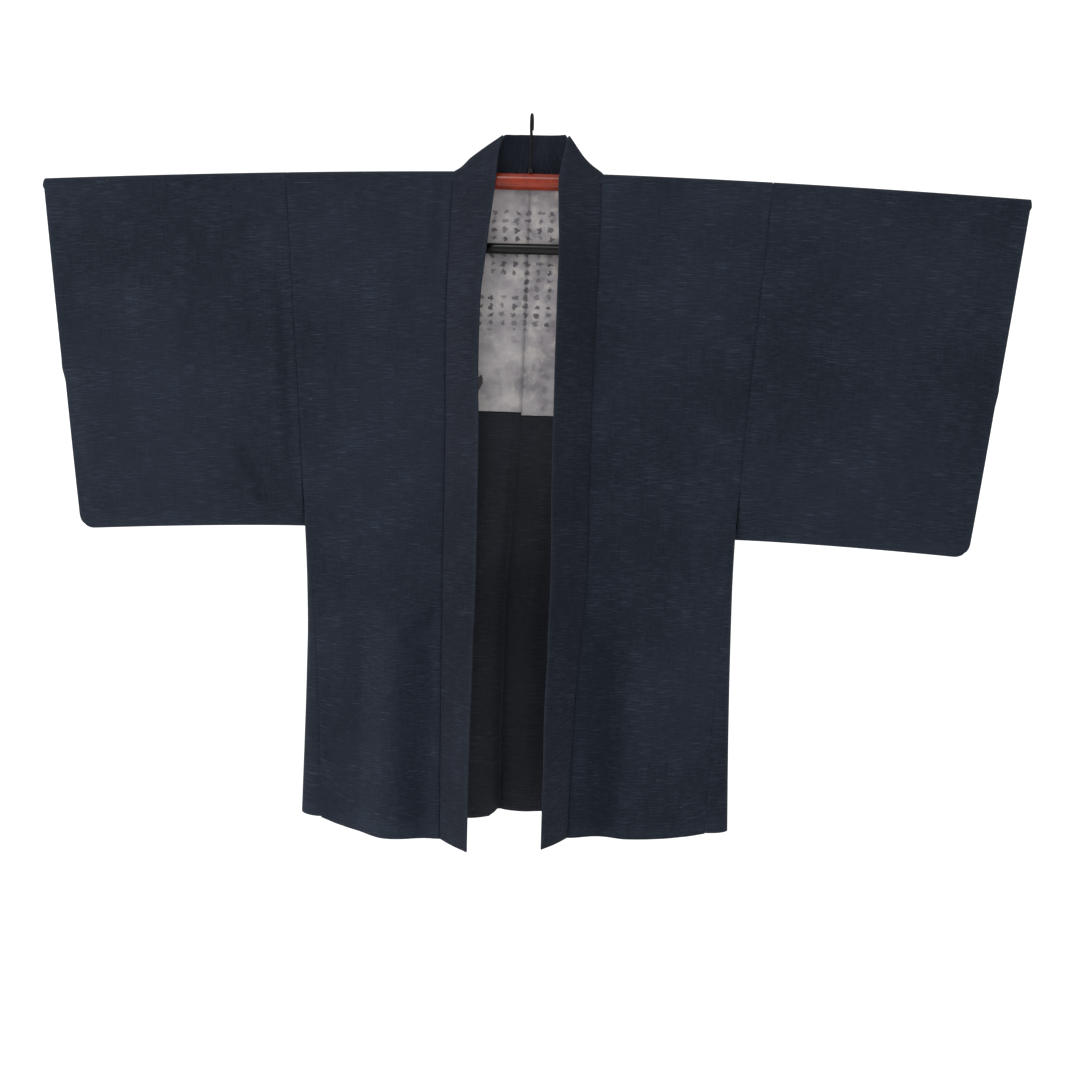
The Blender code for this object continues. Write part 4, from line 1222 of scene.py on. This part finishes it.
def inner_layer(name, side, material, wall, drops, crown):
    """Cloth inside the back panel: its points, moved in along the panel's normal."""
    inner = steps(0.0, 1.0, CELL_INSIDE)
    outer = steps(0.0, 0.85, CELL / PANEL_WIDTH)[1:]
    columns = [(share, None) for share in inner] + [(1.0, share) for share in outer]

    def point(row, column):
        return back_cloth(side, *columns[column], drops[row])

    bm, grid = cloth_grid(len(drops), len(columns), point)
    bm.normal_update()
    inward = -1.0 if bm.faces[:][0].normal.y > 0 else 1.0
    moved = []
    for row, verts in enumerate(grid):
        for column, vert in enumerate(verts):
            puff = crown * math.sin(math.pi * row / (len(grid) - 1))
            shift = (CLOTH / 2 + LAYER_EASE + wall / 2 + puff) * MM * inward
            moved.append((vert, vert.co + vert.normal * shift, row, column))
    for vert, target, row, column in moved:
        centre = follow(BACK, "drop", "centre_x", drops[row]) * MM
        limit = centre + side * (CENTRE_CLEAR * MM + column * COLUMN_CLEAR)
        target.x = max(target.x, limit) if side == LEFT else min(target.x, limit)
        vert.co = target
    widths = [share * NECK_SLIT if beyond is None else NECK_SLIT + beyond * PANEL_WIDTH
              for share, beyond in columns]
    chart(bm, grid, lambda row, column: side * widths[column], lambda row, column: drops[row])
    if bm.faces[:][0].normal.y > 0:
        bmesh.ops.reverse_faces(bm, faces=bm.faces)
    wear(bm, lambda at: 0.0)
    return finish_cloth(name, bm, material, wall, 0.3)


linings = {}
facings = {}
for side in (RIGHT, LEFT):
    end = LINING_END[side]
    linings[side] = inner_layer("silk_lining_" + WORDS[side], side, lining_finish, LINING_CLOTH,
                                steps(17.0, end, CELL), 0.6)
    facings[side] = inner_layer("silk_hem_facing_" + WORDS[side], side, lightened_inside_silk, LINING_CLOTH,
                                steps(end + 1.3, BACK_LENGTH - 1.0, CELL), 0.0)

# %% [markdown]
# ## The hanger
# A kimono hanger has a tube with two thinner arms that slide out of it, so it spreads a
# jacket to its full width, and a bar below. Each rod is a circle pushed along a path, a
# short stretch at a time, and closed with a small rounded end.

# %% Rods along a path
ROUNDED_END = ((0.94, 0.34), (0.8, 0.34), (0.55, 0.2))


def verts_and_edges(made):
    """The vertices and the edges among what an operator made."""
    verts = [item for item in made if isinstance(item, bmesh.types.BMVert)]
    edges = [item for item in made if isinstance(item, bmesh.types.BMEdge)]
    return verts, edges


def swept(bm, path, radius, sides, rounding):
    """Push a circle along the path, and close both ends with a rounded edge."""
    points = [place(*point) for point in path]
    headings = [(after - before).normalized() for before, after in zip(points, points[1:])]
    headings.append(headings[-1])
    turn = Vector((0.0, 0.0, 1.0)).rotation_difference(headings[0])
    ring = bmesh.ops.create_circle(bm, cap_ends=False, segments=sides, radius=radius * MM)["verts"]
    bmesh.ops.rotate(bm, verts=ring, cent=(0.0, 0.0, 0.0), matrix=turn.to_matrix())
    bmesh.ops.translate(bm, verts=ring, vec=points[0])
    first_edges = [edge for edge in bm.edges if edge.verts[0] in ring and edge.verts[1] in ring]
    edges = first_edges
    for i in range(1, len(points)):
        verts, edges = verts_and_edges(bmesh.ops.extrude_edge_only(bm, edges=edges)["geom"])
        bend = headings[i - 1].rotation_difference(headings[i])
        bmesh.ops.translate(bm, verts=verts, vec=points[i] - points[i - 1])
        bmesh.ops.rotate(bm, verts=verts, cent=points[i], matrix=bend.to_matrix())
    for current, heading in ((first_edges, -headings[0]), (edges, headings[-1])):
        for scale, out_by in ROUNDED_END:
            verts, current = verts_and_edges(bmesh.ops.extrude_edge_only(bm, edges=current)["geom"])
            bmesh.ops.translate(bm, verts=verts, vec=heading * rounding * out_by * MM)
            middle = sum((vert.co for vert in verts), Vector()) / len(verts)
            reach = scale * radius * MM / (verts[0].co - middle).length
            bmesh.ops.scale(bm, verts=verts, vec=(reach,) * 3, space=Matrix.Translation(-middle))
        bmesh.ops.edgeloop_fill(bm, edges=current)


def rod_piece(name, material, paths, sides=40, rounding=1.2):
    """One piece of one or more rods, each a path and its radius."""
    bm = bmesh.new()
    for path, radius in paths:
        swept(bm, path, radius, sides, rounding)
    bmesh.ops.recalc_face_normals(bm, faces=bm.faces)
    return smooth_object(name, bm, material)

# %% Tube, arms, bar, links and hook
TUBE_RADIUS, TUBE_LEVEL, TUBE_HALF = 11.5, -13.6, 82.0
ARM_RADIUS, ARM_BELOW, ARM_END = 9.5, 12.65, 648.0
BAR_RADIUS, BAR_LEVEL, BAR_HALF = 7.5, -106.1, 190.0
LINK_RADIUS, LINK_X = 3.0, 165.0
WIRE_RADIUS, HOOK_RADIUS = 2.0, 13.0
HOOK_FROM, HOOK_TO = 218.0, -22.0
SOCKET_RADIUS, SOCKET_HEIGHT = 5.0, 6.0

tube_path = [(x, 0.0, TUBE_LEVEL) for x in steps(-TUBE_HALF + 1.0, TUBE_HALF - 1.0, 20.0)]
tube = rod_piece("hanger_tube_moulded", vermilion, [(tube_path, TUBE_RADIUS)], 56)
bar_path = [(x, 0.0, BAR_LEVEL) for x in steps(-BAR_HALF + 1.0, BAR_HALF - 1.0, 20.0)]
bar = rod_piece("hanger_bar_moulded", black, [(bar_path, BAR_RADIUS)], 48)
arms = {}
links = {}
for side in (RIGHT, LEFT):
    arm_places = steps(TUBE_HALF + 1.2, ARM_END - 1.0, 18.0)
    arm_path = [(side * x, 0.0, shoulder(x) - ARM_BELOW) for x in arm_places]
    arms[side] = rod_piece("hanger_arm_moulded_" + WORDS[side], vermilion, [(arm_path, ARM_RADIUS)])
    top = shoulder(LINK_X) - ARM_BELOW - ARM_RADIUS
    link_path = [(side * LINK_X, 0.0, z) for z in steps(BAR_LEVEL + BAR_RADIUS, top, 12.0)]
    links[side] = rod_piece("hanger_link_moulded_" + WORDS[side], black,
                            [(link_path, LINK_RADIUS)], 24, 0.4)

seat = TUBE_LEVEL + TUBE_RADIUS
socket_path = [(0.0, 0.0, z) for z in steps(seat + 0.3, seat + SOCKET_HEIGHT - 0.6, 2.0)]
socket = rod_piece("hanger_hook_seat", black, [(socket_path, SOCKET_RADIUS)], 32, 0.8)
crown = HOOK_RISE + WIRE_RADIUS - HOOK_RADIUS
stem_top = crown - 1.7 * HOOK_RADIUS
hook_path = [(0.0, 0.0, z) for z in steps(seat + SOCKET_HEIGHT + 0.3, stem_top, 6.0)]
hook_path.append((0.0, -0.2 * HOOK_RADIUS, stem_top + 0.4 * HOOK_RADIUS))
hook_path.append((0.0, -0.55 * HOOK_RADIUS, stem_top + 0.72 * HOOK_RADIUS))
for degrees in steps(HOOK_FROM, HOOK_TO, 8.0):
    angle = math.radians(degrees)
    hook_path.append((0.0, HOOK_RADIUS * math.cos(angle), crown + HOOK_RADIUS * math.sin(angle)))
hook = rod_piece("hanger_hook_wire", wire, [(hook_path, WIRE_RADIUS)], 24, 0.8)

# %% [markdown]
# ## Floor and light
# The jacket hangs in front of a pale sweep of paper that rises far behind it. A large soft
# light stands at the front, to the viewer's left, with a weaker one at the right, and the
# pale room fills in the rest.

# %% Sweep and lights
FLOOR_LEVEL = -1.45
FLOOR_HALF_X, FLOOR_HALF_Y = 9.0, 5.6
BEND_RADIUS, WALL_RISE = 1.6, 5.0
bm = bmesh.new()
start = bmesh.ops.create_grid(bm, x_segments=1, y_segments=1, size=1.0)["verts"]
bmesh.ops.scale(bm, verts=start, vec=(FLOOR_HALF_X, FLOOR_HALF_Y, 1.0))
bmesh.ops.translate(bm, verts=start, vec=(0.0, 0.0, FLOOR_LEVEL))
far_edges = [edge for edge in bm.edges if all(vert.co.y > 5.0 for vert in edge.verts)]
spun = bmesh.ops.spin(bm, geom=far_edges, cent=(0.0, FLOOR_HALF_Y, FLOOR_LEVEL + BEND_RADIUS),
                      axis=(1.0, 0.0, 0.0), angle=math.radians(90.0), steps=18, use_merge=False)
last = verts_and_edges(spun["geom_last"])[1]
raised = verts_and_edges(bmesh.ops.extrude_edge_only(bm, edges=last)["geom"])[0]
bmesh.ops.translate(bm, verts=raised, vec=(0.0, 0.0, WALL_RISE))
paper = Paint("pale_paper", Roughness=0.9, Specular_IOR_Level=0.1)
paper.shader.inputs["Base Color"].default_value = (0.94, 0.94, 0.94, 1.0)
paper.shader.inputs["Emission Color"].default_value = (1.0, 1.0, 1.0, 1.0)
paper.shader.inputs["Emission Strength"].default_value = 0.32
sweep = smooth_object("paper_sweep", bm, paper.material)
WHITE = (1.0, 1.0, 1.0)


def soft_light(name, at, towards, size, power, colour=WHITE):
    """A square soft light that faces a point."""
    data = bpy.data.lights.new(name, "AREA")
    data.shape = "SQUARE"
    data.size = size
    data.energy = power
    data.color = colour
    light = bpy.data.objects.new(name, data)
    light.location = at
    light.rotation_mode = "QUATERNION"
    light.rotation_quaternion = (Vector(towards) - Vector(at)).to_track_quat("-Z", "Y")
    bpy.context.collection.objects.link(light)


soft_light("key light", (-2.4, -1.7, -1.5), (-0.1, 0.0, -0.85), 1.1, 94.0, (1.0, 0.985, 0.96))
soft_light("top light", (-0.3, -1.3, 1.3), (0.0, 0.0, -0.3), 0.6, 7.0)
soft_light("fill light", (2.6, -2.4, 0.2), (0.1, 0.0, -0.5), 2.2, 17.0, (0.96, 0.98, 1.0))
world = bpy.data.worlds.new("pale room")
world.use_nodes = True
world.node_tree.nodes["Background"].inputs[0].default_value = (1.0, 1.0, 1.0, 1.0)
world.node_tree.nodes["Background"].inputs[1].default_value = 0.76
bpy.context.scene.world = world
print("floor at", FLOOR_LEVEL, "m")

# %% [markdown]
# ## What each piece stands for
# Every piece takes the place of one part of the frame and rides on its one body.

# %% Declarations
def declare(piece, node, flat=None):
    """Tie a piece to the frame and hide the part that it replaces; flat, the cloth's flat cut, is not used.
    """
    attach(piece, "root")
    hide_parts(node)


for side in (RIGHT, LEFT):
    word = WORDS[side]
    arm = arms[side]
    declare(bodies[side], "body_" + word, (0.335, 1.83))
    declare(sleeves[side], "sleeve_" + word, (0.345, 1.01))
    declare(gussets[side], "gusset_" + word, (0.072, 0.458))
    declare(linings[side], "lining_" + word, (0.285, 0.315))
    declare(facings[side], "hem_facing_" + word, (0.275, 0.555))
    declare(arm, "hanger_arm_" + word)
    declare(links[side], "hanger_link_" + word)
declare(band, "collar", (BAND_WIDTH * MM, band_sections()[-1].at * MM))
declare(tube, "hanger_tube")
declare(bar, "hanger_bar")
declare(socket, "hanger_hook_socket")
declare(hook, "hanger_hook")
